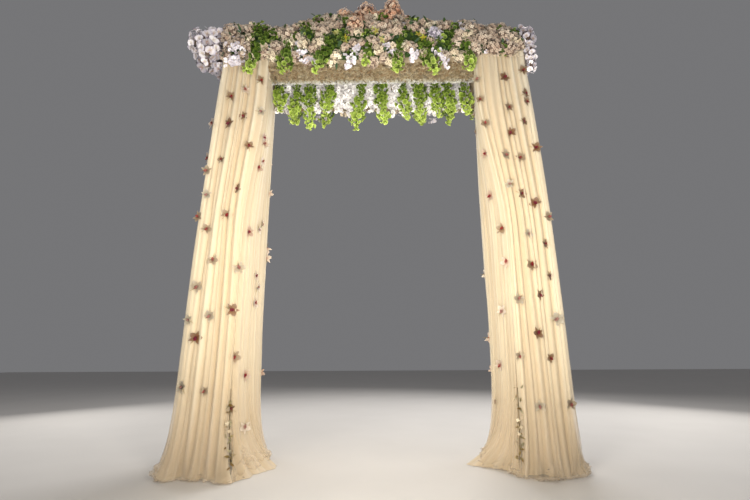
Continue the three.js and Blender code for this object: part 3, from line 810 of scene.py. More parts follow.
# Radius of the rounded corners at the floor, from the inner front round to the inner rear
HEM_ROUND = {"left": (0.120, 0.120, 0.120, 0.120), "right": (0.070, 0.230, 0.230, 0.150)}
TOP_ROUND, ROUND_REACH = 0.035, 0.45

# How far the inner front corner is tucked back at the floor
HEM_TUCK = {"left": 0.0, "right": 0.110}
TUCK_REACH = 0.35

# Where the hem is pushed out, or in: place along the walk (panel number and share), its spread, and the push
HEM_PUSHES = {
    "left": ((3.55, 0.28, 0.22), (3.94, 0.14, 0.12), (0.02, 0.09, 0.12), (0.35, 0.12, -0.04),
             (0.69, 0.09, -0.09), (1.27, 0.30, 0.05)),
    "right": ((3.44, 0.24, 0.27), (0.80, 0.20, -0.06), (0.33, 0.12, -0.05), (1.00, 0.16, -0.08),
              (1.55, 0.28, 0.06)),
}
PUSH_REACH = 0.17

# Where the hem puffs up: place, spread, and the height added
HEM_PUFFS = {
    "left": ((3.84, 0.10, 0.13), (3.62, 0.10, 0.13), (3.40, 0.08, 0.08), (3.99, 0.06, 0.09),
             (0.02, 0.06, 0.09), (1.00, 0.07, 0.05)),
    "right": ((0.26, 0.08, 0.07), (0.42, 0.09, 0.08), (3.20, 0.12, 0.06), (3.42, 0.08, 0.09),
              (3.70, 0.10, 0.05)),
}

# Where spare cloth is bunched on the floor in front of the hem: place, spread, and how far it reaches out
HEM_BUNCHES = {
    "left": ((0.06, 0.07, 0.05),),
    "right": ((0.25, 0.07, 0.07), (0.40, 0.08, 0.105)),
}

# Rows of the hanging cloth: even down to a little above the floor, closer together below
UPPER_ROWS, UPPER_FOOT = 52, 0.52
LOWER_ROWS, LOWER_TOP = 13, 0.48

# Above this height, cloth under the beams and mats is drawn down to end below them
DRAWN_FROM = 3.200
MAT_DEPTH, UNDER_MAT, EDGE = 0.265, 0.003, 0.002

# The greenery in the slits: heights of its top and foot, and how many leaves and flowers it has
GARLAND_TOP, GARLAND_FOOT, GARLAND_LEAVES, GARLAND_FLOWERS = 0.66, 0.10, 44, 6

# The hem leaves the folds below this height; how it turns in, as shares of its roll and degrees outwards
HEM_FROM, HEM_LEVELS, ROLL_STEPS = 0.50, 15, 14
ROLL_SHARES, ROLL_DEGREES = (0, 0.30, 0.62, 0.85, 1.0), (12, 62, -35, -100, -100)


def lean(z):
    """How far the drapes spread at a height: 0 at the top, 1 at the floor."""
    return np.clip(1 - z / DRAPE_FALL, 0, 1) ** 0.75


def bumps(entries, walk):
    return sum(size * np.exp(-((walk - place) / spread) ** 2) for place, spread, size in entries)


def smooth(t):
    t = np.clip(t, 0, 1)
    return t * t * (3 - 2 * t)


def plan_corners(z, side):
    """Corners of a side at a height, as on the right: inner front, outer front, outer rear and inner rear."""
    face = HALF_DEPTH + STAND_OFF + FACE_SPREAD * lean(z) + FACE_HEM * math.exp(-z / FACE_REACH)
    outer = TOP_HALF_WIDTH + STAND_OFF + OUTER_SPREAD * lean(z) + OUTER_HEM * math.exp(-z / OUTER_REACH)
    swing = CORNER_SWING[side] * smooth((z - SWING_START) / (SWING_FULL - SWING_START))
    inner_front = HALF_OPENING - swing - INNER_SPREAD * math.exp(-z / FACE_REACH)
    low = max(0.0, 1 - z / INNER_START) ** 1.5
    inner_rear = HALF_OPENING - INNER_SPREAD * low - INNER_HEM * math.exp(-z / INNER_REACH)
    tucked = face - HEM_TUCK[side] * math.exp(-z / TUCK_REACH)
    return np.array([(inner_front, -tucked), (outer, -face), (outer, face), (inner_rear, face)])


def walk_edge(a, b, shares, trim, near_round, far_round):
    """Points along one edge with both ends rounded off, and the way inwards at each."""
    length = np.linalg.norm(b - a)
    along = (b - a) / length
    inward = np.array([-along[1], along[0]])
    cut = 1 - math.cos(math.pi / 4)
    t = cut * near_round + (length - cut * (near_round + far_round) - trim) * shares
    near = np.clip(1 - t / near_round, 0, 1)
    far = np.clip(1 - (length - t) / far_round, 0, 1)
    lift = near_round * (1 - np.sqrt(1 - near**2)) + far_round * (1 - np.sqrt(1 - far**2))
    points = a + along * t[:, None] + inward * lift[:, None]
    turn = near - far
    return points, along * turn[:, None] + inward * np.sqrt(1 - turn**2)[:, None]


def walk_round(z, shares, side):
    """The walk round one side at a height: places and the way inwards."""
    corners = plan_corners(z, side)
    rounds = [TOP_ROUND + (low - TOP_ROUND) * math.exp(-z / ROUND_REACH) for low in HEM_ROUND[side]]
    places, inward = [], []
    for k in range(4):
        slit = SLIT_WIDTH * max(0.0, 1 - z / SLIT_HEIGHT) ** 1.2 if k == 3 else 0.0
        after = (k + 1) % 4
        p, n = walk_edge(corners[k], corners[after], shares[k], slit, rounds[k], rounds[after])
        places.append(p)
        inward.append(n)
    return np.concatenate(places), np.concatenate(inward)


class Folds:
    """Irregular folds all round: valleys that drift with height, with fine gathers at the top."""

    def __init__(self, rng):
        starts = []
        for k, count in enumerate(FOLD_COUNTS):
            widths = rng.uniform(0.45, 1.6, count + 1)
            widths[[0, -1]] *= 0.5
            starts.append(k + np.cumsum(widths)[:-1] / widths.sum())
        self.valleys = np.concatenate(starts)
        self.count = len(self.valleys)
        per_fold = np.repeat([1 / n for n in FOLD_COUNTS], FOLD_COUNTS)
        self.drift = rng.uniform(0.08, 0.26, self.count) * per_fold
        self.speed = rng.uniform(0.6, 1.7, self.count)
        self.start = rng.uniform(0, 2 * np.pi, self.count)
        self.deep = rng.uniform(0.50, 1.0, self.count)
        self.swell = rng.uniform(0.1, 0.3, self.count)
        self.sharp = rng.uniform(0.45, 1.0, self.count)
        self.turns = rng.uniform(0, 2 * np.pi, 8)
        self.waves = rng.uniform(0.6, 1.6, 8)

    def phase(self, walk, z):
        """The number of the valley at each place of the walk, with halves on the ridges between."""
        at = self.valleys + self.drift * np.sin(self.speed * z + self.start)
        numbers = np.concatenate([[-0.5], np.arange(self.count), [self.count - 0.5]])
        return np.interp(walk, np.concatenate([[0], at, [4]]), numbers)

    def depth(self, walk, z):
        """0 on the ridges and about 1 in the deepest valleys, along the walk at one height."""
        phase = self.phase(walk, z)
        steps = np.arange(self.count)
        deep = np.clip(self.deep + self.swell * np.sin(1.3 * self.speed * z + 2 * self.start), 0.3, 1.0)
        low = smooth((SKIRT_TOP - z) / 0.35)
        wave = 0.5 + 0.5 * np.cos(2 * np.pi * phase)
        main = np.interp(phase, steps, deep) * wave ** np.interp(phase, steps, self.sharp)
        second = 0.5 - 0.5 * np.cos(2 * np.pi * (2.4 * phase + 0.35 * np.sin(0.9 * z + self.turns[0])))
        fine = np.sin(2 * np.pi * (5.3 * phase + 0.25 * np.sin(1.4 * z + self.turns[1])))
        gather = 0.5 - 0.5 * np.cos(2 * np.pi * 2.0 * phase)
        broad = 0.5 + 0.5 * np.sin(2 * np.pi * 2.3 * walk + 0.8 * z + self.turns[5])
        calm = 1 - bumps(CALM_INNER, walk) * smooth((z - 0.2) / 0.8) - bumps(CALM_CORNER, walk)
        main = main * (0.55 + 0.45 * low)
        second = second * (SECOND_FOLDS + 0.10 * np.sin(1.1 * z + 5 * walk))
        return calm * (main + second + FINE_FOLDS * fine + GATHERS * gather * (1 - low) + BROAD_FOLDS * broad)

    def crumple(self, walk, z):
        """Short wrinkles that run every way, for cloth that lies on the floor."""
        total = 0.0
        for k, (turn, wave) in enumerate(zip(self.turns[:5], self.waves[:5])):
            across, up = 26 * wave * (1 + 0.7 * k), 22 * (2 - wave) * (1 + 0.5 * k)
            bend = 2 * np.sin(7 * wave * walk + turn)
            total = total + np.sin(across * walk + up * z + turn + bend) / (1 + 0.6 * k)
        return total / 3


def closed(points, walk):
    """The same cloth with the foot of its slit drawn shut."""
    pull = np.exp(-(points[:, 0, 2] / SLIT_CLOSED) ** 2)[:, None] * smooth((walk - 3.70) / 0.30)[None]
    return points + (points[:, :1] - points[:, -1:]) * pull[..., None]


def row_heights(z, places):
    """Heights of one row of cloth: near the top, what hangs under the beams and mats is drawn down."""
    under = np.abs(places[:, 1]) < HALF_DEPTH + EDGE
    matted = under & (places[:, 0] < MAT_HALF + EDGE) & (np.abs(places[:, 1]) > HALF_DEPTH - MAT_DEPTH)
    top = np.where(matted, MAT_LOW - UNDER_MAT, INNER_TOP)
    share = (z - DRAWN_FROM) / (SKIRT_TOP - DRAWN_FROM)
    return np.where(under & (z > DRAWN_FROM), DRAWN_FROM + (top - DRAWN_FROM) * share, z)


def hanging_cloth(folds, side, inset, deep):
    """Rows of one cloth from the top: points, fold depths, the walk, and the way outwards at the foot."""
    shares = []
    for k, count in enumerate(FOLD_COUNTS):
        first = 0 if k == 0 else 1
        shares.append(np.linspace(0, 1, PER_FOLD * count + 1)[first:])
    walk = np.concatenate([k + s for k, s in enumerate(shares)])
    rows, depths = [], []
    upper = np.linspace(SKIRT_TOP, UPPER_FOOT, UPPER_ROWS)
    for z in np.concatenate([upper, np.linspace(LOWER_TOP, 0.0, LOWER_ROWS)]):
        places, inward = walk_round(z, shares, side)
        growth = deep * (TOP_FOLDS + (1 - TOP_FOLDS) * lean(z))
        growth *= 1 - FLAT_AT_FLOOR * math.exp(-z / FLAT_REACH)
        sway = 0.004 * np.sin(1.9 * z + 3.1 * walk + folds.turns[2])
        depth = folds.depth(walk, z)
        in_by = growth * depth + sway - RIDGE_OUT
        if z > BEAM_BOTTOM - BEAM_NEAR:
            room = STAND_OFF - BEAM_CLEAR + 0.5 * max(0.0, BEAM_BOTTOM - z)
            in_by = room * np.tanh(in_by / room)
        out_by = bumps(HEM_PUSHES[side], walk) * math.exp(-z / PUSH_REACH)
        inner = inset * smooth((BEAM_BOTTOM - z) / 0.3)
        points = places + inward * (in_by + inner - out_by)[:, None]
        rows.append(np.column_stack([points, row_heights(z, places)]))
        depths.append(depth)
    return closed(np.stack(rows), walk), np.stack(depths), walk, -inward


def cloth_shape(points, depths, walk, mirror):
    """A grid of cloth that keeps its fold depth and its walk at every point."""
    missing = len(points) - len(depths)
    below = np.linspace(1, 0.6, missing)[:, None] * depths[-1]
    shape = Shape(points.reshape(-1, 3), [grid_faces(*points.shape[:2], mirror > 0)],
                  np.concatenate([depths, below]).ravel())
    shape.pick = np.tile(walk, len(points))
    return shape


def lower_rows(rows, last, start):
    """Rows of the cloth again, from its last high row down to where the hem starts to roll."""
    columns = np.arange(rows.shape[1])
    lower = []
    for share in np.linspace(0, 1, HEM_LEVELS + 1)[1:]:
        z = last[:, 2] * (1 - share) + start * share
        index = np.array([np.interp(-z[c], -rows[:, c, 2], np.arange(len(rows))) for c in columns])
        above = np.minimum(index.astype(int), len(rows) - 2)
        part = (index - above)[:, None]
        flat = rows[above, columns, :2] * (1 - part) + rows[above + 1, columns, :2] * part
        lower.append(np.column_stack([flat, z]))
    return np.stack(lower)


def rolled_hem(rows, walk, outward, side, roll, folds):
    """The cloth with its lowest stretch kicked out and rolled under in soft puffs on the floor."""
    ripple = 0.30 * np.sin(9.0 * walk + folds.turns[3]) + 0.22 * np.sin(23.0 * walk + folds.turns[4])
    start = roll * (1 + ripple) + bumps(HEM_PUFFS[side], walk)
    high = rows[rows[:, :, 2].min(axis=1) > HEM_FROM]
    lower = lower_rows(rows, high[-1], start)
    turn_in = np.linspace(0, 1, ROLL_STEPS + 1)[1:]
    angle = np.interp(turn_in, ROLL_SHARES, np.radians(ROLL_DEGREES))
    kick, fall = np.cumsum(np.sin(angle)), np.cumsum(np.cos(angle))
    scale = (start - FLOOR_GAP) / fall.max()
    bunched = bumps(HEM_BUNCHES[side], walk) / kick.max()
    reach = kick[:, None] * (0.35 * scale + 0.65 * scale.mean() + bunched)
    drop = fall[:, None] * scale
    puff = start / (roll + 0.10) * roll
    rolled = []
    for k, t in enumerate(turn_in):
        ruffle = 0.75 * puff * folds.crumple(walk, 2.5 * t) * math.sin(math.pi * min(1.0, t + 0.1))
        rise = 0.36 * puff * folds.crumple(walk + 1.7, 1.9 * t) * math.sin(math.pi * t)
        flat = lower[-1, :, :2] + outward * (reach[k] + ruffle)[:, None]
        rolled.append(np.column_stack([flat, np.maximum(start - drop[k] + rise, FLOOR_GAP)]))
    hanging = np.concatenate([high, lower])
    depth = np.clip((0.45 - hanging[:, :, 2]) / 0.4, 0, 1)
    wrinkle = 0.008 * depth * np.stack([folds.crumple(walk, 0.8 * row[0, 2]) for row in hanging])
    hanging[:, :, :2] += outward[None] * wrinkle[:, :, None]
    return closed(np.concatenate([hanging, np.stack(rolled)]), walk)


def mirrored(points, mirror):
    return points * np.array([mirror, 1, 1])


def edge_at(edge, heights):
    """Points at some heights of one upright edge of the cloth."""
    order = np.argsort(edge[:, 2])
    return np.stack([np.interp(heights, edge[order, 2], edge[order, k]) for k in range(3)], axis=1)


def along_stem(rng, template, spine, count, ahead, off, width, shares):
    """Copies of a template a little off a stem, turned every way but mostly to the front."""
    at = spine[rng.integers(0, len(spine), count)]
    around = rng.uniform(-1, 1, (count, 3)) + (0, -ahead, 0)
    return strewn(template, at + off * around, around, width, shares, rng)


def slit_garland(rng, near, far, sizes):
    """Small leaves and cream blossoms on a thin stem down the slit between two edges of the cloth."""
    heights = np.linspace(GARLAND_TOP, GARLAND_FOOT, 60)
    spine = 0.85 * edge_at(near, heights) + 0.15 * edge_at(far, heights)
    spine[:, 2] = heights
    stem = stem_shape(spine[::4], 0.003)
    length, width = 0.5 * sizes.leaf_length, 0.9 * sizes.floret_width
    leaves = along_stem(rng, leaf_shape(), spine, GARLAND_LEAVES, 0.5, 0.018, length, (0.6, 1.2))
    middle = spine[24:38]
    flowers = along_stem(rng, floret_shape(), middle, GARLAND_FLOWERS, 0.8, 0.022, width, (0.7, 1.3))
    return joined([stem, leaves, in_slot(flowers, 1)])


def garland_finishes(colours):
    return [
        petal_finish("garland leaves", (0.10, 0.08, 0.03), (0.22, 0.17, 0.07), (0.36, 0.27, 0.13), 0.3, 0.8),
        petal_finish("garland florets", colours.rose_and_shade, (0.55, 0.45, 0.30), (0.62, 0.50, 0.32), 0.5, 0.4),
    ]


class CANOPY_OT_drapes(bpy.types.Operator):
    """Hang the gathered lining and the sheer outer cloth on both sides"""

    bl_idname = "canopy.drapes"
    bl_label = "Drapes"

    def execute(self, context):
        sizes, colours = context.scene.canopy_sizes, context.scene.canopy_colours
        lining = cloth_finish("ivory chiffon", colours, 0.72, 1.5, 1.0)
        sheer = cloth_finish("ivory tulle", colours, 0.36, 2.0, 0.60)
        for side, mirror in SIDES:
            folds = Folds(draws(sizes, "folds", RIGHT_FOLDS if side == "right" else 0))
            outer, depths, walk, outward = hanging_cloth(folds, side, 0.0, sizes.fold_depth)
            inner = hanging_cloth(folds, side, LINING_INSET, sizes.fold_depth)[0]
            tulle = mirrored(rolled_hem(outer, walk, outward, side, sizes.hem_roll, folds), mirror)
            chiffon = mirrored(inner, mirror) + (0, 0, FLOOR_GAP)
            shape = cloth_shape(tulle, depths[:len(tulle)], walk, mirror)
            piece = make_piece(f"{side}_tulle", shape, [sheer],
                               [f"{side}_{panel}_drape" for panel in PANELS])
            shape = cloth_shape(chiffon, depths, walk, mirror)
            piece = make_piece(f"{side}_chiffon_lining", shape, [lining])
            garland = slit_garland(draws(sizes, "garland", mirror), tulle[:, 0], tulle[:, -1], sizes)
            make_piece(f"{side}_slit_garland", garland, garland_finishes(colours))
        return {"FINISHED"}


# Blossoms sewn to the drapes

# On the rear and the outer face: how many, the height of the lowest, how far up they go, and
# how far they stray from the middle of the face
UNSEEN_BLOSSOMS, UNSEEN_FOOT, UNSEEN_RISE = 20, 0.320, 3.100
STRAY = (("rear", 0.16), ("outer", 0.32))
OFF_CLOTH = 0.008


def view_axes():
    """Right, up and forward of the camera."""
    yaw, pitch, roll = (math.radians(v) for v in (CAMERA_YAW, CAMERA_PITCH, CAMERA_ROLL))
    level = Vector((math.cos(yaw), math.sin(yaw), 0))
    ahead = Vector((-math.sin(yaw), math.cos(yaw), 0))
    forward = ahead * math.cos(pitch) + Vector((0, 0, math.sin(pitch)))
    above = Vector((0, 0, math.cos(pitch))) - ahead * math.sin(pitch)
    right = level * math.cos(roll) + above * math.sin(roll)
    up = above * math.cos(roll) - level * math.sin(roll)
    return right, up, forward


def pixel_ray(x, y):
    """The way from the camera through a pixel."""
    right, up, forward = view_axes()
    across, above = x - PICTURE_WIDTH / 2, PICTURE_HEIGHT / 2 - y
    return (right * across + up * above + forward * FOCAL_PIXELS).normalized()


def search_tree(name):
    """A search tree over the faces of a piece."""
    mesh = bpy.data.objects[name].data
    points = [v.co.copy() for v in mesh.vertices]
    return BVHTree.FromPolygons(points, [tuple(p.vertices) for p in mesh.polygons])


def sewn_places(side, mirror, rng):
    """Where the blossoms of one draped side sit, and which way they face."""
    tree = search_tree(f"{side}_tulle")
    middle = Vector((mirror * (HALF_OPENING + TOP_HALF_WIDTH) / 2, 0, 0))
    places, facing = [], []

    def sew(start, direction):
        hit, normal, _, _ = tree.ray_cast(start, direction)
        if hit is None:
            hit, normal, _, _ = tree.find_nearest(start + direction * (middle - start).length)
        away = Vector((hit.x - middle.x, hit.y - middle.y, 0)).normalized()
        if normal.dot(away) < 0:
            normal = -normal
        normal = (normal + away).normalized()
        places.append(hit + normal * OFF_CLOTH)
        facing.append(normal)

    for x, y in BLOSSOM_PIXELS[side]:
        sew(CAMERA_PLACE, pixel_ray(x, y))
    for face, reach in STRAY:
        for k in range(UNSEEN_BLOSSOMS):
            z = UNSEEN_FOOT + UNSEEN_RISE * (k + rng.uniform(-0.3, 0.3)) / UNSEEN_BLOSSOMS
            wobble = rng.uniform(-reach, reach)
            if face == "rear":
                sew(Vector((middle.x + mirror * 0.02 + wobble, 3, z)), Vector((0, -1, 0)))
            else:
                sew(Vector((mirror * 4, wobble, z)), Vector((-mirror, 0, 0)))
    return np.array(places), np.array(facing)


class CANOPY_OT_sewn_blossoms(bpy.types.Operator):
    """Sew small orchid-like blossoms to the outer cloth of both sides"""

    bl_idname = "canopy.sewn_blossoms"
    bl_label = "Sewn blossoms"

    def execute(self, context):
        sizes, colours = context.scene.canopy_sizes, context.scene.canopy_colours
        rim = blended(colours.blush, colours.white, 0.15)
        petals = petal_finish("blush petals", (0.14, 0.05, 0.03), colours.blush, rim, 0.45, 0.8)
        rim = blended(colours.lit_pale_blush, colours.white, 0.2)
        pale = petal_finish("pale blush petals", (0.30, 0.12, 0.08), colours.lit_pale_blush, rim, 0.45, 0.5)
        red = colours.heart
        heart = petal_finish("red hearts", red, scaled(red, 1.4), red, 0.3, 0.8)
        twig = petal_finish("thin stems", colours.leaf, (0.22, 0.17, 0.07), (0.28, 0.18, 0.09))
        for side, mirror in SIDES:
            rng = draws(sizes, "sewn", mirror)
            places, facing = sewn_places(side, mirror, rng)
            # Painted light: blossoms that face the front get the dark shaded petal tone, those that face
            # sideways the pale lit one
            front = facing[:, 1] < -0.80
            shapes = []
            for chosen, tone in ((front, 0), (~front, 3)):
                blossom = sewn_blossom_shape()
                blossom.slots = [np.where(s == 0, tone, s) for s in blossom.slots]
                shapes.append(strewn(blossom, places[chosen], facing[chosen], sizes.blossom_width,
                                     (0.85, 1.2), rng))
            make_piece(f"{side}_sewn_blossoms", joined(shapes), [petals, heart, twig, pale])
        return {"FINISHED"}


# Greens: room along a stem for each whorl, bells in a whorl and at the tip, and how thick the rows are
WHORL_SPACING, WHORL_BELLS, TIP_BELLS = 0.027, 6, 5
FRONT_THICK, WALKWAY_THICK = 0.056, 0.058

# The rows hang in three parts, between these places along X
GREEN_THIRDS = (("left", -9, -0.3), ("centre", -0.3, 0.4), ("right", 0.4, 9))


def bell_strand(rng, top, tip, bell_width, thick):
    """A hanging stem with whorls of small bells that open downwards, from the hook to the tip."""
    top, tip = np.array(top, float), np.array(tip, float)
    fall = np.linalg.norm(tip - top)
    bow = np.array([rng.uniform(-1, 1), rng.uniform(-1, 1), 0]) * 0.018
    t = np.linspace(0.0, 1.0, max(5, int(fall / WHORL_SPACING)))
    spine = top + (tip - top) * t[:, None] + bow * np.sin(np.pi * t)[:, None]
    swell = 1 + 0.26 * np.sin(9 * t + rng.uniform(0, 6)) + 0.18 * np.sin(21 * t + rng.uniform(0, 6))
    tapers = np.interp(t, [0, 0.25, 0.75, 1], [0.40, 0.85, 1.10, 0.65]) * swell
    places, facing, widths = [], [], []
    down = (tip - top) / fall
    for k, taper in enumerate(tapers):
        for j in range(WHORL_BELLS):
            a = 2 * math.pi * j / WHORL_BELLS + k * 0.55 + rng.uniform(-0.35, 0.35)
            out = np.array([math.cos(a), math.sin(a), 0.0])
            off = out * thick * taper * rng.uniform(0.20, 0.95)
            places.append(spine[k] + off + (0, 0, rng.uniform(-0.01, 0.01)))
            facing.append(out * 0.9 + down * rng.uniform(0.2, 1.2))
            widths.append(bell_width * min(1.1, taper) * rng.uniform(0.75, 1.25))
    for j in range(TIP_BELLS):
        places.append(tip + rng.uniform(-0.018, 0.018, 3))
        facing.append(down + rng.uniform(-0.6, 0.6, 3))
        widths.append(bell_width * 0.8)
    picks = np.concatenate([np.repeat(t, WHORL_BELLS), np.ones(TIP_BELLS)])
    spins = rng.uniform(0, FULL_TURN, len(places))
    bells = scattered(bell_shape(), places, facing, spins, widths, rng, picks)
    stem = stem_shape(spine, 0.0035)
    stem.pick = np.repeat(t, STEM_SIDES) * 0.4
    return joined([bells, stem])


def bell_finish(name, colours, dark):
    """Green bells, darker near the hook and lime at the tips and rims: partly their own colour, partly
    painted shade and highlight.
    """
    # A faint painted glow: the bells shine a little as emission
    material, tree, shader = new_material(name, 0.6, Specular_IOR_Level=0.15, Emission_Strength=0.03)
    if tree is None:
        return material
    along, pick = attribute(tree, "along"), attribute(tree, "pick")
    down = remapped(tree, pick, 0.38 + 0.27 * dark, 1.0, 0.03 - 0.03 * dark, 0.72)
    body = mix_colours(tree, down, colours.green, colours.lime)
    rims = remapped(tree, along, 0.70, 1.0, 0.0, 0.60 - 0.38 * dark)
    edged = mix_colours(tree, rims, body, colours.lime)
    # Painted highlight: pale lime on the lips of the lower bells
    low, lip = remapped(tree, pick, 0.55, 1.0, 0.0, 0.75), remapped(tree, along, 0.75, 1.0)
    whole = mix_colours(tree, math_node(tree, "MULTIPLY", low, lip), edged, colours.lime_tip_highlight)
    painted(tree, shader, mottled(tree, whole, colours.green, 22.0, 0.35)["Colour"], with_painted_glow=True)
    bumped(tree, shader, noise(tree, 160.0), 0.3, 0.002)
    return material


def shaded_dark_bells(colours):
    return bell_finish("dark green bells", colours, 1.0)


def row_of_greens(rng, strands, y, start_z, bell_width, thick):
    shapes = []
    for x, tip, leaning in strands:
        shapes.append(bell_strand(rng, (x, y, start_z), (x + leaning, y, tip), bell_width, thick))
    return joined(shapes)


class CANOPY_OT_hanging_greens(bpy.types.Operator):
    """Hang the bell-shaped greens on the front, over the walkway and on the rear"""

    bl_idname = "canopy.hanging_greens"
    bl_label = "Hanging greens"

    def execute(self, context):
        sizes, colours = context.scene.canopy_sizes, context.scene.canopy_colours
        width = sizes.bell_width
        # Painted shade and light: the front and rear rows get the shaded dark copy of the bells, the walkway
        # row the lit lime copy
        dark, bright = shaded_dark_bells(colours), bell_finish("lime green bells", colours, 0.0)
        rng = draws(sizes, "greens")
        rows = (("front", FRONT_GREENS, FRONT_GREEN_Y, GREEN_TOP + 0.04, FRONT_THICK, dark),
                ("walkway", WALKWAY_GREENS, WALKWAY_GREEN_Y, GREEN_TOP - 0.01, WALKWAY_THICK, bright))
        for part, low, high in GREEN_THIRDS:
            for name, greens, y, top, thick, finish in rows:
                strands = [g for g in greens if low <= g[0] < high]
                shape = row_of_greens(rng, strands, y, top, width, thick)
                make_piece(
                    f"{name}_bells_{part}", shape, [finish], (f"{name}_greens_{part}",))
        behind = [(-x, tip, -leaning) for x, tip, leaning in FRONT_GREENS]
        shape = row_of_greens(rng, behind, -FRONT_GREEN_Y, GREEN_TOP + 0.06, width, FRONT_THICK)
        make_piece("rear_bells", shape, [dark], ("rear_greens",))
        return {"FINISHED"}


# Flower heads and banks

KINDS = ("rose_and_shade", "cream", "lavender", "green", "orchid", "lip", "star", "leaf", "ground")

# Each bank: its middle off the centre line, half its depth, its foot, and how far its mound
# stays under the crest
MOUND_Y, MOUND_HALF, MOUND_FOOT, MOUND_UNDER = 0.250, 0.215, 3.740, 0.030

# What fills a bank between the listed flowers: room for each, and the kinds by the share
# that ends with them
FILL_SPACING = 0.078
FILL_ANGLES = np.radians(np.arange(-22, 185, 19))
FILL_SHARES = (("rose_and_shade", 0.58), ("cream", 0.74), ("green", 0.86), ("orchid", 1.0))
ORCHID_FILL_RADIUS, LEAVES_PER_METRE, STAR_WIDTH = 0.026, 150, 0.078

# Where a ray into the front bank is tried, from the face back
RAY_STEPS = np.linspace(-0.50, -0.05, 91)

# The rear crest is this much lower than the front one
REAR_LOWER = 0.045

# A round head: how low its florets go, how far it is squashed, and its core as a share of it
HEAD_LOW, HEAD_SQUASH, HEAD_CORE = -0.95, 0.92, 0.80


def of_kind(shape, kind):
    """The shape in the material slot of a kind of flower or leaf."""
    return in_slot(shape, KINDS.index(kind))


def kind_finishes(colours):
    """The finishes of every kind of flower and leaf in a bank, in the order of KINDS."""
    # The dusky rose tone is partly the heads' own and partly painted shade
    rose_shade, cream, lavender = colours.rose_and_shade, colours.cream, colours.lavender
    return [
        petal_finish("dusty florets", scaled(rose_shade, 0.45), rose_shade, blended(rose_shade, cream, 0.4), 0.5, 0.5),
        petal_finish("cream florets", scaled(cream, 0.45), cream, cream, 0.5, 0.4),
        petal_finish("lavender florets", scaled(lavender, 0.45), lavender, colours.white, 0.5, 0.3),
        shaded_dark_bells(colours),
        petal_finish("white orchids", rose_shade, blended(colours.white, lavender, 0.4), lavender, 0.30, 0.6),
        lip_finish(colours),
        petal_finish("star orchids", (0.35, 0.20, 0.03), colours.star, colours.lime, 0.35, 0.4),
        petal_finish("dark leaves", colours.leaf, colours.leaf, colours.green, 0.3, 0.8),
        foam_finish(colours),
    ]


def flower_head(rng, place, radius, floret_width):
    """A lumpy ball packed with small florets over a plain core in their darker heart colour, which shows as
    painted shade in the gaps.
    """
    count = int(4.6 * (radius / floret_width) ** 2 * (1 - HEAD_LOW) + 8)
    directions = sphere_spread(count, rng, HEAD_LOW)
    across, up = (np.sin(n * directions[:, axis] + rng.uniform(0, 6)) for n, axis in ((7, 0), (6, 2)))
    lumps = 1 + 0.10 * across * up
    directions += rng.uniform(-0.12, 0.12, directions.shape)
    directions /= np.linalg.norm(directions, axis=1, keepdims=True)
    reach = radius * (lumps * rng.uniform(0.86, 1.03, count))[:, None]
    places = np.asarray(place) + directions * (1, 1, HEAD_SQUASH) * reach
    facing = directions + rng.uniform(-0.45, 0.45, directions.shape)
    picks = np.clip(rng.normal(0.5, 0.2, count) + rng.uniform(-0.15, 0.15), 0, 1)
    florets = strewn(floret_shape(), places, facing, floret_width, (0.9, 1.3), rng, picks)
    # Painted shade: the core takes the florets' darker heart colour and shows in the gaps between them
    core = ball_shape(radius * HEAD_CORE, HEAD_SQUASH).moved(np.eye(3), place)
    return joined([florets, core])


def bell_cluster(rng, place, radius, bell_width):
    """A loose ball of green bells that face every way."""
    count = int(2.6 * (radius / bell_width) ** 2 * 1.8 + 8)
    directions = sphere_spread(count, rng, -0.9)
    places = np.asarray(place) + directions * radius * rng.uniform(0.6, 1.0, (count, 1))
    facing = directions + rng.uniform(-0.5, 0.5, directions.shape)
    shape = strewn(bell_shape(), places, facing, bell_width, (0.8, 1.2), rng)
    shape.pick *= 0.92
    return shape


def orchid_group(rng, place, outward, radius, width):
    """A few orchids side by side that face outwards."""
    count = max(2, int(2.4 * (radius / (0.5 * width)) ** 2))
    spread = rng.normal(0, 0.5, (count, 3)) * radius
    outward = np.asarray(outward) / np.linalg.norm(outward)
    places = np.asarray(place) + spread - outward * (spread @ outward)[:, None] * 0.7
    facing = outward + rng.uniform(-0.55, 0.55, (count, 3))
    shape = strewn(orchid_shape(), places, facing, width, (0.8, 1.15), rng)
    shape.slots = [np.where(s == 1, KINDS.index("lip"), KINDS.index("orchid")) for s in shape.slots]
    return shape


def crest(x):
    xs, zs = zip(*CREST)
    return np.interp(x, xs, zs)


def mound_point(x, angle, toward, lower):
    """A point on the rounded top of a bank, and the way out of it: 0 degrees is the face, 90 the top."""
    rise = crest(x) - lower - MOUND_FOOT - MOUND_UNDER
    y, z = toward * (MOUND_Y + MOUND_HALF * np.cos(angle)), MOUND_FOOT + rise * np.sin(angle)
    out = np.stack([0 * x, toward * np.cos(angle) / MOUND_HALF, np.sin(angle) / rise], axis=-1)
    return np.stack([x, y, z], axis=-1), out / np.linalg.norm(out, axis=-1, keepdims=True)


def spot_on_mound(px, py):
    """Where the ray through a pixel first meets the front bank, and the way out of it there."""
    ray = np.array(pixel_ray(px, py))
    start = np.array(CAMERA_PLACE)
    for y in RAY_STEPS:
        place = start + ray * (y - start[1]) / ray[1]
        across = (-y - MOUND_Y) / MOUND_HALF
        if abs(across) > 1:
            continue
        rise = crest(place[0]) - MOUND_FOOT - MOUND_UNDER
        if place[2] <= MOUND_FOOT + rise * math.sqrt(1 - across * across):
            angle = math.atan2(max(-0.3, (place[2] - MOUND_FOOT) / rise), across)
            return place, np.array([0, -math.cos(angle), math.sin(angle)])
    place = start + ray * (-MOUND_Y - start[1]) / ray[1]
    place[2] = min(place[2], crest(place[0]) - 0.01)
    return place, np.array([0.0, -0.3, 1.0])


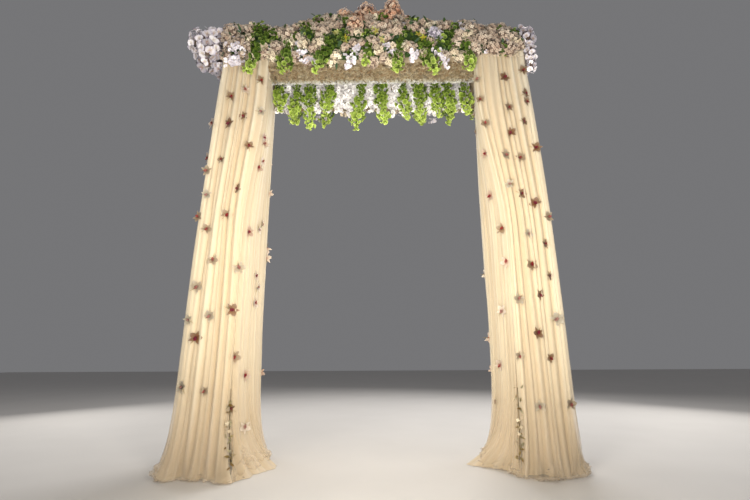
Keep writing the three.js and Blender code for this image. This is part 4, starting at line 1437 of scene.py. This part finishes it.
def placed_flower(kind, rng, place, out, radius, sizes):
    """One flower or cluster of a kind, sunk a little into the bank."""
    seat = place - out * 0.35 * radius
    if kind == "orchid":
        return orchid_group(rng, place, out, radius, 0.50 * sizes.orchid_width)
    if kind == "green":
        shape = bell_cluster(rng, seat, radius, 0.8 * sizes.bell_width)
    elif kind == "star":
        places = place + rng.uniform(-0.6, 0.6, (3, 3)) * radius
        facing = out + rng.uniform(-0.5, 0.5, (3, 3))
        shape = strewn(star_shape(), places, facing, STAR_WIDTH, (0.85, 1.1), rng)
    else:
        shape = flower_head(rng, seat, radius, sizes.floret_width)
    return of_kind(shape, kind)


def mound_core(x0, x1, toward, lower):
    """The foam under a bank: a rounded strip that shows only as shade between the flowers."""
    x = np.linspace(x0, x1, 24)
    angles = np.radians(np.linspace(-25, 190, 12))
    points = np.stack([mound_point(x, np.full(len(x), a), toward, lower)[0] for a in angles])
    middle = np.array([toward * MOUND_Y, MOUND_FOOT])
    points[:, :, 1:] = middle + (points[:, :, 1:] - middle) * 0.86
    return of_kind(Shape(points.reshape(-1, 3), [grid_faces(*points.shape[:2], toward > 0)]), "ground")


def bank_fill(rng, x0, x1, toward, lower, taken, sizes):
    """Small heads, orchids and greens wherever no listed flower sits."""
    shapes = []
    for row, angle in enumerate(FILL_ANGLES):
        for x in np.arange(x0 + FILL_SPACING * (0.3 + 0.5 * (row % 2)), x1, FILL_SPACING):
            x_here = np.array(x + rng.uniform(-0.02, 0.02))
            place, out = mound_point(x_here, np.array(angle + rng.uniform(-0.1, 0.1)), toward, lower)
            if taken and min(np.linalg.norm(place - t) - 0.75 * r for t, r in taken) < 0:
                continue
            pick = rng.random()
            kind = next(name for name, share in FILL_SHARES if pick < share)
            radius = ORCHID_FILL_RADIUS if kind == "orchid" else rng.uniform(0.040, 0.060)
            shapes.append(placed_flower(kind, rng, place, out, radius, sizes))
    return shapes


def bank_leaves(rng, x0, x1, toward, lower, length):
    """Dark leaves that stand out between the flowers of a bank."""
    count = int(LEAVES_PER_METRE * (x1 - x0))
    x = rng.uniform(x0, x1, count)
    place, out = mound_point(x, rng.uniform(-0.5, 3.2, count), toward, lower)
    facing = out + rng.uniform(-0.8, 0.8, out.shape)
    off = rng.uniform(-0.01, 0.03, (count, 1))
    return of_kind(strewn(leaf_shape(), place + out * off, facing, length, (0.5, 1.1), rng), "leaf")


class CANOPY_OT_flower_banks(bpy.types.Operator):
    """Pile flower heads, orchids, greens and dark leaves along both beams"""

    bl_idname = "canopy.flower_banks"
    bl_label = "Flower banks"

    def execute(self, context):
        sizes, colours = context.scene.canopy_sizes, context.scene.canopy_colours
        finishes = kind_finishes(colours)
        spots = []
        for kind, px, py, radius in FLOWER_SPOTS:
            place, out = spot_on_mound(px, py)
            away = (place - np.array(CAMERA_PLACE))[1]
            spots.append((kind, place, out, radius * away * 1.12 / FOCAL_PIXELS))
        for face, toward, lower in (("front", -1, 0.0), ("rear", 1, REAR_LOWER)):
            for number, name in enumerate(("left", "centre", "right")):
                node = f"{face}_flower_bank_{name}"
                low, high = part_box(node)
                rng = draws(sizes, "banks", 10 * number + toward)
                shapes = [mound_core(low.x + 0.02, high.x - 0.02, toward, lower)]
                taken = [(np.array((x, y, z)), r) for x, y, z, r in CROWN_HEADS if toward < 0]
                for kind, place, out, radius in spots:
                    swing = np.array([1, -toward, 1])
                    here = place * swing - (0, 0, lower)
                    if low.x <= here[0] < high.x:
                        shapes.append(placed_flower(kind, rng, here, out * swing, radius, sizes))
                        taken.append((here, radius))
                shapes += bank_fill(rng, low.x, high.x, toward, lower, taken, sizes)
                shapes.append(bank_leaves(rng, low.x, high.x, toward, lower, sizes.leaf_length))
                make_piece(f"{face}_bank_{name}", joined(shapes), finishes, (node,))
        return {"FINISHED"}


# Heads of the crown: centre and radius
CROWN_HEADS = [
    (-0.061, -0.300, 4.205, 0.092), (0.028, -0.310, 4.130, 0.072), (0.187, -0.300, 4.258, 0.080),
    (0.236, -0.310, 4.175, 0.064), (-0.162, -0.420, 3.965, 0.082), (-0.279, -0.300, 4.150, 0.088),
    (0.098, -0.320, 4.150, 0.060), (0.315, -0.300, 4.100, 0.058), (-0.120, -0.180, 4.160, 0.085),
    (0.080, -0.190, 4.150, 0.085), (0.180, -0.190, 4.180, 0.080), (-0.130, -0.340, 4.120, 0.070),
    (0.170, -0.350, 4.110, 0.075),
]


class CANOPY_OT_crown(bpy.types.Operator):
    """Build the taller peach heads at the centre"""

    bl_idname = "canopy.crown"
    bl_label = "Centre crown"

    def execute(self, context):
        sizes, colours = context.scene.canopy_sizes, context.scene.canopy_colours
        pale = blended(colours.peach, colours.cream, 0.4)
        peach = petal_finish("peach florets", scaled(colours.peach, 0.35), colours.peach, pale, 0.5, 0.6)
        rng = draws(sizes, "crown")
        shapes = [flower_head(rng, place, radius, sizes.floret_width) for *place, radius in CROWN_HEADS]
        make_piece("peach_crown", joined(shapes), [peach], ("centre_crown",))
        return {"FINISHED"}


# Orchids at the ends

# How many orchids cover a head of a given area, before small heads get smaller ones, and the core
# of a head as a share of it
ORCHIDS_EACH, AREA_EACH, END_CORE = 38, 0.05, 0.66


def orchid_cloud(rng, centre, reach, count, width):
    """Orchids over a lumpy ball, all turned outwards and a little to the front and down."""
    directions = sphere_spread(count, rng, -0.95)
    rng.shuffle(directions)
    places = np.asarray(centre) + directions * np.asarray(reach) * rng.uniform(0.70, 1.08, (count, 1))
    facing = directions + (0, -0.2, -0.08) + rng.uniform(-0.35, 0.35, directions.shape)
    spins = rng.normal(0, 0.5, count)
    return scattered(orchid_shape(), places, facing, spins, width * rng.uniform(0.8, 1.15, count), rng)


# Heads of the ends: centre, and reach along X, Y and Z
LEFT_END_HEADS = [
    (-1.620, -0.380, 3.830, 0.145, 0.100, 0.125), (-1.700, -0.300, 3.850, 0.075, 0.110, 0.105),
    (-1.560, -0.410, 3.730, 0.115, 0.080, 0.095), (-1.500, -0.360, 3.900, 0.090, 0.100, 0.080),
    (-1.640, -0.230, 3.760, 0.105, 0.120, 0.110), (-1.530, -0.060, 3.840, 0.110, 0.150, 0.100),
    (-1.480, -0.180, 3.930, 0.100, 0.140, 0.070), (-1.530, 0.210, 3.810, 0.110, 0.140, 0.110),
    (-1.500, 0.380, 3.780, 0.110, 0.100, 0.110), (-1.480, 0.120, 3.910, 0.100, 0.160, 0.070),
    (-1.480, -0.230, 3.650, 0.080, 0.130, 0.100), (-1.475, 0.020, 3.650, 0.075, 0.150, 0.100),
    (-1.480, 0.270, 3.650, 0.080, 0.140, 0.100),
]
RIGHT_END_HEADS = [
    (1.440, -0.400, 3.800, 0.080, 0.080, 0.120), (1.480, -0.250, 3.780, 0.065, 0.120, 0.110),
    (1.430, -0.300, 3.900, 0.075, 0.120, 0.060), (1.500, 0.0, 3.790, 0.085, 0.140, 0.110),
    (1.500, 0.210, 3.780, 0.095, 0.140, 0.115), (1.490, 0.370, 3.760, 0.095, 0.110, 0.110),
    (1.450, 0.060, 3.880, 0.080, 0.150, 0.060), (1.450, -0.455, 3.620, 0.045, 0.040, 0.100),
    (1.455, -0.450, 3.490, 0.036, 0.036, 0.090), (1.470, -0.200, 3.650, 0.070, 0.140, 0.095),
    (1.470, 0.040, 3.650, 0.070, 0.150, 0.100), (1.475, 0.280, 3.650, 0.075, 0.140, 0.100),
]


class CANOPY_OT_end_flowers(bpy.types.Operator):
    """Cluster white and lavender orchids round both ends"""

    bl_idname = "canopy.end_flowers"
    bl_label = "End orchids"

    def execute(self, context):
        sizes, colours = context.scene.canopy_sizes, context.scene.canopy_colours
        shaded = blended(colours.white, colours.lavender, 0.35)
        petals = petal_finish("lavender orchids", colours.rose_and_shade, shaded, colours.lavender, 0.5, 0.9)
        # Painted shade: a dark brown core inside each head shows in the gaps between the orchids
        shade = petal_finish("orchid shade cores", (0.16, 0.11, 0.08), colours.rose_and_shade, colours.rose_and_shade)
        finishes = [petals, lip_finish(colours), shade]
        for side, heads in (("left", LEFT_END_HEADS), ("right", RIGHT_END_HEADS)):
            rng = draws(sizes, "ends", len(side))
            shapes = []
            for x, y, z, rx, ry, rz in heads:
                share = min(1.0, 0.4 + 6 * rx)
                count = int(ORCHIDS_EACH * (rx * ry + ry * rz + rx * rz) / AREA_EACH / share**2)
                shapes.append(orchid_cloud(rng, (x, y, z), (rx, ry, rz), count, share * sizes.orchid_width))
                # The dark core, painted shade between the orchids
                core = ball_shape(1.0).moved(END_CORE * np.diag([rx, ry, rz]), (x, y, z))
                shapes.append(in_slot(core, 2))
            make_piece(
                f"{side}_end_orchids", joined(shapes), finishes, (f"{side}_end_flowers",))
        return {"FINISHED"}


# Strings of blossoms over the walkway: how many, where they start and how wide they run,
# the step down a string, and how far back its rows stand
STRINGS, STRINGS_LEFT, STRINGS_WIDE = 52, -1.015, 2.000
STRING_STEP, STRING_ROWS = 0.050, (0.0, 0.022, 0.05)
STRING_FACINGS = ((-0.8, 0.8), (-1.6, 0.1), (-1.0, 0.4))


class CANOPY_OT_walkway_blossoms(bpy.types.Operator):
    """Hang strings of white blossoms behind the greens over the walkway"""

    bl_idname = "canopy.walkway_blossoms"
    bl_label = "Walkway blossoms"

    def execute(self, context):
        sizes, colours = context.scene.canopy_sizes, context.scene.canopy_colours
        # A faint painted glow: the bright orchids shine a little as emission
        petals = petal_finish("bright orchids", colours.moss, colours.white, colours.white, 0.3, 0.6, 0.06)
        rng = draws(sizes, "strings")
        low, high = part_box("walkway_blossoms")
        places = []
        for k in range(STRINGS):
            x = STRINGS_LEFT + STRINGS_WIDE * (k + 0.5) / STRINGS
            bottom = low.z + 0.02 + 0.07 * (0.5 + 0.5 * math.sin(2.2 * k)) + rng.uniform(0, 0.04)
            for z in np.arange(high.z + 0.04, bottom, -STRING_STEP):
                for back in STRING_ROWS:
                    aside = rng.uniform(-0.02, 0.02)
                    places.append((x + aside, low.y + back + rng.uniform(-0.01, 0.01), z))
        facing = np.stack([rng.uniform(*ends, len(places)) for ends in STRING_FACINGS], axis=1)
        shape = strewn(orchid_shape(), places, facing, 0.62 * sizes.orchid_width, (0.8, 1.2), rng)
        make_piece("white_blossom_strings", shape, [petals, lip_finish(colours)],
                   ("walkway_blossoms",))
        return {"FINISHED"}


# Beams and mats

BEAM_STEPS, BEAM_ROUND, WRINKLES = 150, 0.012, 6
MAT_COLUMNS, MAT_ROWS, MAT_FLORET = 128, 15, 0.026


def wrapped_beam(low, high, rng):
    """Cloth pulled round a beam that runs along X, with slight tension wrinkles."""
    near, far = low.y + BEAM_ROUND, high.y - BEAM_ROUND
    bottom, top = low.z + BEAM_ROUND, high.z - BEAM_ROUND
    arcs = []
    for k, centre in enumerate(((far, top), (near, top), (near, bottom), (far, bottom))):
        angles = np.radians(90 * k + np.array([0, 30, 60, 90]))
        arcs.append(centre + BEAM_ROUND * np.stack([np.cos(angles), np.sin(angles)], axis=1))
    shares = np.array([0.2, 0.4, 0.6, 0.8])[:, None]
    around = []
    for arc, after in zip(arcs, arcs[1:] + arcs[:1]):
        around += [arc, arc[-1] + (after[0] - arc[-1]) * shares]
    ring_points = np.concatenate([*around, arcs[0][:1]])
    x = np.linspace(low.x, high.x, BEAM_STEPS)
    waves = 0.0
    for _ in range(WRINKLES):
        height, pace, start = rng.uniform(0.0004, 0.0012), rng.uniform(8, 60), rng.uniform(0, 6)
        slant = rng.uniform(-25, 25)
        waves = waves + height * np.sin(pace * x[:, None] + start + slant * ring_points[None, :, 1])
    away = ring_points - ((low.y + high.y) / 2, (low.z + high.z) / 2)
    away /= np.linalg.norm(away, axis=1, keepdims=True)
    yz = ring_points[None] + away[None] * (waves - 0.001)[..., None]
    yz[:, -1] = yz[:, 0]
    return np.concatenate([np.broadcast_to(x[:, None, None], (*yz.shape[:2], 1)), yz], axis=2)


def coated(node, finish):
    """A frame node in one finish."""
    node.data.materials.clear()
    node.data.materials.append(finish)


class CANOPY_OT_beam_cloth(bpy.types.Operator):
    """Pull plain cloth over both beams"""

    bl_idname = "canopy.beam_cloth"
    bl_label = "Beam cloth"

    def execute(self, context):
        sizes, colours = context.scene.canopy_sizes, context.scene.canopy_colours
        finish = wrap_finish(colours)
        for place in ("front", "rear"):
            low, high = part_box(f"{place}_beam")
            points = wrapped_beam(low, high, draws(sizes, "beams", len(place)))
            shape = Shape(points.reshape(-1, 3), [grid_faces(*points.shape[:2])])
            piece = make_piece(f"{place}_beam_cloth", shape, [finish], (f"{place}_beam",))
        for side, _ in SIDES:
            coated(frame["nodes"][f"{side}_end_beam"], finish)
        return {"FINISHED"}


def mat_places(low, high, rng):
    """Places and facings of the small blossoms over the underside and the edges of a mat."""
    xs = np.linspace(low.x, high.x, MAT_COLUMNS)
    x, y = (grid.ravel() for grid in np.meshgrid(xs, np.linspace(low.y, high.y, MAT_ROWS)))
    count = len(x)
    jitter = rng.uniform(-0.008, 0.008, (count, 2))
    z = low.z - rng.uniform(-0.003, 0.006, count)
    under = np.stack([x + jitter[:, 0], y + jitter[:, 1], z], axis=1)
    tilts = [rng.uniform(-0.6, 0.6, count) for _ in range(2)]
    down = np.stack([*tilts, np.full(count, -1.0)], axis=1)
    edge_y = np.repeat([low.y, low.y, high.y, high.y], MAT_COLUMNS)
    edge_z = np.repeat([low.z + 0.008, low.z + 0.022] * 2, MAT_COLUMNS)
    count = len(edge_y)
    edge = np.stack([np.tile(xs, 4), edge_y, edge_z], axis=1) + rng.uniform(-0.005, 0.005, (count, 3))
    aside = rng.uniform(-0.5, 0.5, count)
    out = np.stack([aside, np.sign(edge_y - (low.y + high.y) / 2), rng.uniform(-0.6, 0.2, count)], axis=1)
    return np.concatenate([under, edge]), np.concatenate([down, out])


class CANOPY_OT_soffit_mats(bpy.types.Operator):
    """Cover the mats under both beams with packed small blossoms"""

    bl_idname = "canopy.soffit_mats"
    bl_label = "Soffit mats"

    def execute(self, context):
        sizes, colours = context.scene.canopy_sizes, context.scene.canopy_colours
        ground = moss_finish(colours)
        blade, rim = (0.23, 0.175, 0.10), (0.39, 0.32, 0.21)
        tiny = petal_finish("packed blossoms", colours.moss, blade, rim, 0.6, 1.1)
        for place in ("front", "rear"):
            coated(frame["nodes"][f"{place}_soffit_mat"], ground)
            low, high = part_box(f"{place}_soffit_mat")
            rng = draws(sizes, "mats", len(place))
            places, facing = mat_places(low, high, rng)
            # Painted light: the blossoms grow paler towards the edge of each mat that faces the walkway
            inwards_to_lit_edge = np.abs(places[:, 1] - (low.y if place == "front" else high.y)) / (high.y - low.y)
            picks = rng.uniform(0.2, 0.7, len(places)) + 0.9 * smooth((inwards_to_lit_edge - 0.65) / 0.35)
            shape = strewn(floret_shape(), places, facing, MAT_FLORET, (0.7, 1.3), rng, picks)
            make_piece(f"{place}_mat_blossoms", shape, [tiny])
        return {"FINISHED"}


class CANOPY_OT_frame_finish(bpy.types.Operator):
    """Give the posts, plates, hoops and tie bars their grey coat"""

    bl_idname = "canopy.frame_finish"
    bl_label = "Frame finish"

    def execute(self, context):
        finish = steel_finish(context.scene.canopy_colours)
        for name, node in frame["nodes"].items():
            if name.endswith(("_post", "_base_plate", "_drape_hoop")) or name.startswith("tie_bar"):
                coated(node, finish)
        return {"FINISHED"}


# Stage

# Soft lights: name, place, what it points at, size, watts, tint, and spread in degrees
FRONT_LIGHTS = (
    ("key", (-3.4, -5.6, 4.4), (0, 0, 2.0), (1.6, 1.6), 85, (1.0, 0.94, 0.85), 180),
    ("low", (0.0, -2.7, 0.45), (0, 0.3, 3.2), (1.8, 0.7), 45, (1.0, 0.95, 0.86), 120),
    ("centre", (0.0, -2.3, 1.6), (0, 0.2, 1.8), (0.6, 1.6), 58, (1.0, 0.94, 0.83), 150),
    ("fill", (5.2, -3.2, 2.6), (0.6, 0, 1.8), (1.6, 2.6), 35, (1.0, 0.96, 0.90), 180),
)
SIDE_LIGHTS = (
    ("accent", (1.22, -1.5, 2.85), (1.25, -0.5, 3.2), (0.25, 0.25), 1.8, (0.96, 0.98, 1.0), 180),
    ("rear", (5.2, 3.4, 2.6), (1.3, 0.3, 1.7), (2.0, 2.6), 90, (1.0, 0.97, 0.92), 180),
)
HIGH_LIGHTS = (
    ("top", (0.0, 0.6, 7.4), (0, 0.1, 4.0), (3.4, 1.8), 60, (1.0, 0.98, 0.95), 180),
    ("back", (1.5, 5.0, 5.5), (0, 0, 2.6), (3.5, 2.5), 320, (1.0, 0.98, 0.96), 180),
)
FLOOR_TONES = (0.60, 0.58, 0.56), (0.57, 0.55, 0.53)
WORLD_TONE, WORLD_STRENGTH = (0.60, 0.60, 0.62, 1), 0.30


def area_light(name, place, target, size, power, tint, spread):
    light = bpy.data.lights.new(name, "AREA")
    light.shape, light.size, light.size_y = "RECTANGLE", size[0], size[1]
    light.energy, light.color, light.spread = power, tint, math.radians(spread)
    lamp = bpy.data.objects.new(name, light)
    lamp.location = place
    lamp.visible_camera = False
    lamp.rotation_euler = (Vector(target) - Vector(place)).to_track_quat("-Z", "Y").to_euler()
    bpy.context.scene.collection.objects.link(lamp)


def studio_floor():
    bpy.ops.mesh.primitive_plane_add(size=40, location=(0, 0, 0))
    floor = bpy.context.object
    floor.name = "pale_floor"
    material, tree, shader = new_material("pale floor", 0.8)
    painted(tree, shader, mottled(tree, *FLOOR_TONES, 1.5, 0.6)["Colour"])
    floor.data.materials.append(material)


def studio_world():
    world = bpy.data.worlds.new("studio")
    world.use_nodes = True
    background = world.node_tree.nodes["Background"]
    background.inputs["Color"].default_value = WORLD_TONE
    background.inputs["Strength"].default_value = WORLD_STRENGTH
    bpy.context.scene.world = world


def studio_lights():
    for light in FRONT_LIGHTS:
        area_light(*light)
    for side, mirror in SIDES:
        for name, (x, y, z), (to_x, to_y, to_z), *rest in SIDE_LIGHTS:
            area_light(f"{side}_{name}", (mirror * x, y, z), (mirror * to_x, to_y, to_z), *rest)
    for light in HIGH_LIGHTS:
        area_light(*light)


def studio_camera():
    right, up, forward = view_axes()
    data = bpy.data.cameras.new("camera")
    data.sensor_width = SENSOR_WIDTH_MM
    data.lens = FOCAL_PIXELS * SENSOR_WIDTH_MM / PICTURE_WIDTH
    data.clip_end = 100
    camera = bpy.data.objects.new("camera", data)
    turn = Matrix((right, up, -forward)).transposed().to_4x4()
    camera.matrix_world = Matrix.Translation(CAMERA_PLACE) @ turn
    bpy.context.scene.collection.objects.link(camera)
    bpy.context.scene.camera = camera


class CANOPY_OT_stage(bpy.types.Operator):
    """Set the pale floor, the soft lights and the camera"""

    bl_idname = "canopy.stage"
    bl_label = "Stage"

    def execute(self, context):
        studio_floor()
        studio_world()
        context.scene.view_settings.view_transform = "Standard"
        studio_lights()
        studio_camera()
        return {"FINISHED"}


class CANOPY_PT_panel(bpy.types.Panel):
    """Sizes, colours and steps of the canopy"""

    bl_idname = "CANOPY_PT_panel"
    bl_label = "Wedding canopy"
    bl_space_type = "VIEW_3D"
    bl_region_type = "UI"
    bl_category = "Canopy"

    def draw(self, context):
        for group in (context.scene.canopy_sizes, context.scene.canopy_colours):
            box = self.layout.box()
            for label in group.bl_rna.properties.keys():
                if label not in ("rna_type", "name"):
                    box.prop(group, label)
        for step in STEPS:
            self.layout.operator(step.bl_idname)


STEPS = (
    CANOPY_OT_stage, CANOPY_OT_frame_finish, CANOPY_OT_drapes, CANOPY_OT_sewn_blossoms, CANOPY_OT_beam_cloth,
    CANOPY_OT_soffit_mats, CANOPY_OT_hanging_greens, CANOPY_OT_walkway_blossoms, CANOPY_OT_flower_banks,
    CANOPY_OT_crown, CANOPY_OT_end_flowers,
)
CLASSES = (CanopySizes, CanopyColours, *STEPS, CANOPY_PT_panel)


def register():
    for cls in CLASSES:
        bpy.utils.register_class(cls)
    bpy.types.Scene.canopy_sizes = PointerProperty(type=CanopySizes)
    bpy.types.Scene.canopy_colours = PointerProperty(type=CanopyColours)


def unregister():
    del bpy.types.Scene.canopy_colours
    del bpy.types.Scene.canopy_sizes
    for cls in reversed(CLASSES):
        bpy.utils.unregister_class(cls)


def main():
    register()
    for step in STEPS:
        group, name = step.bl_idname.split(".")
        getattr(getattr(bpy.ops, group), name)()
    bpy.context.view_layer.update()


if __name__ == "__main__":
    main()
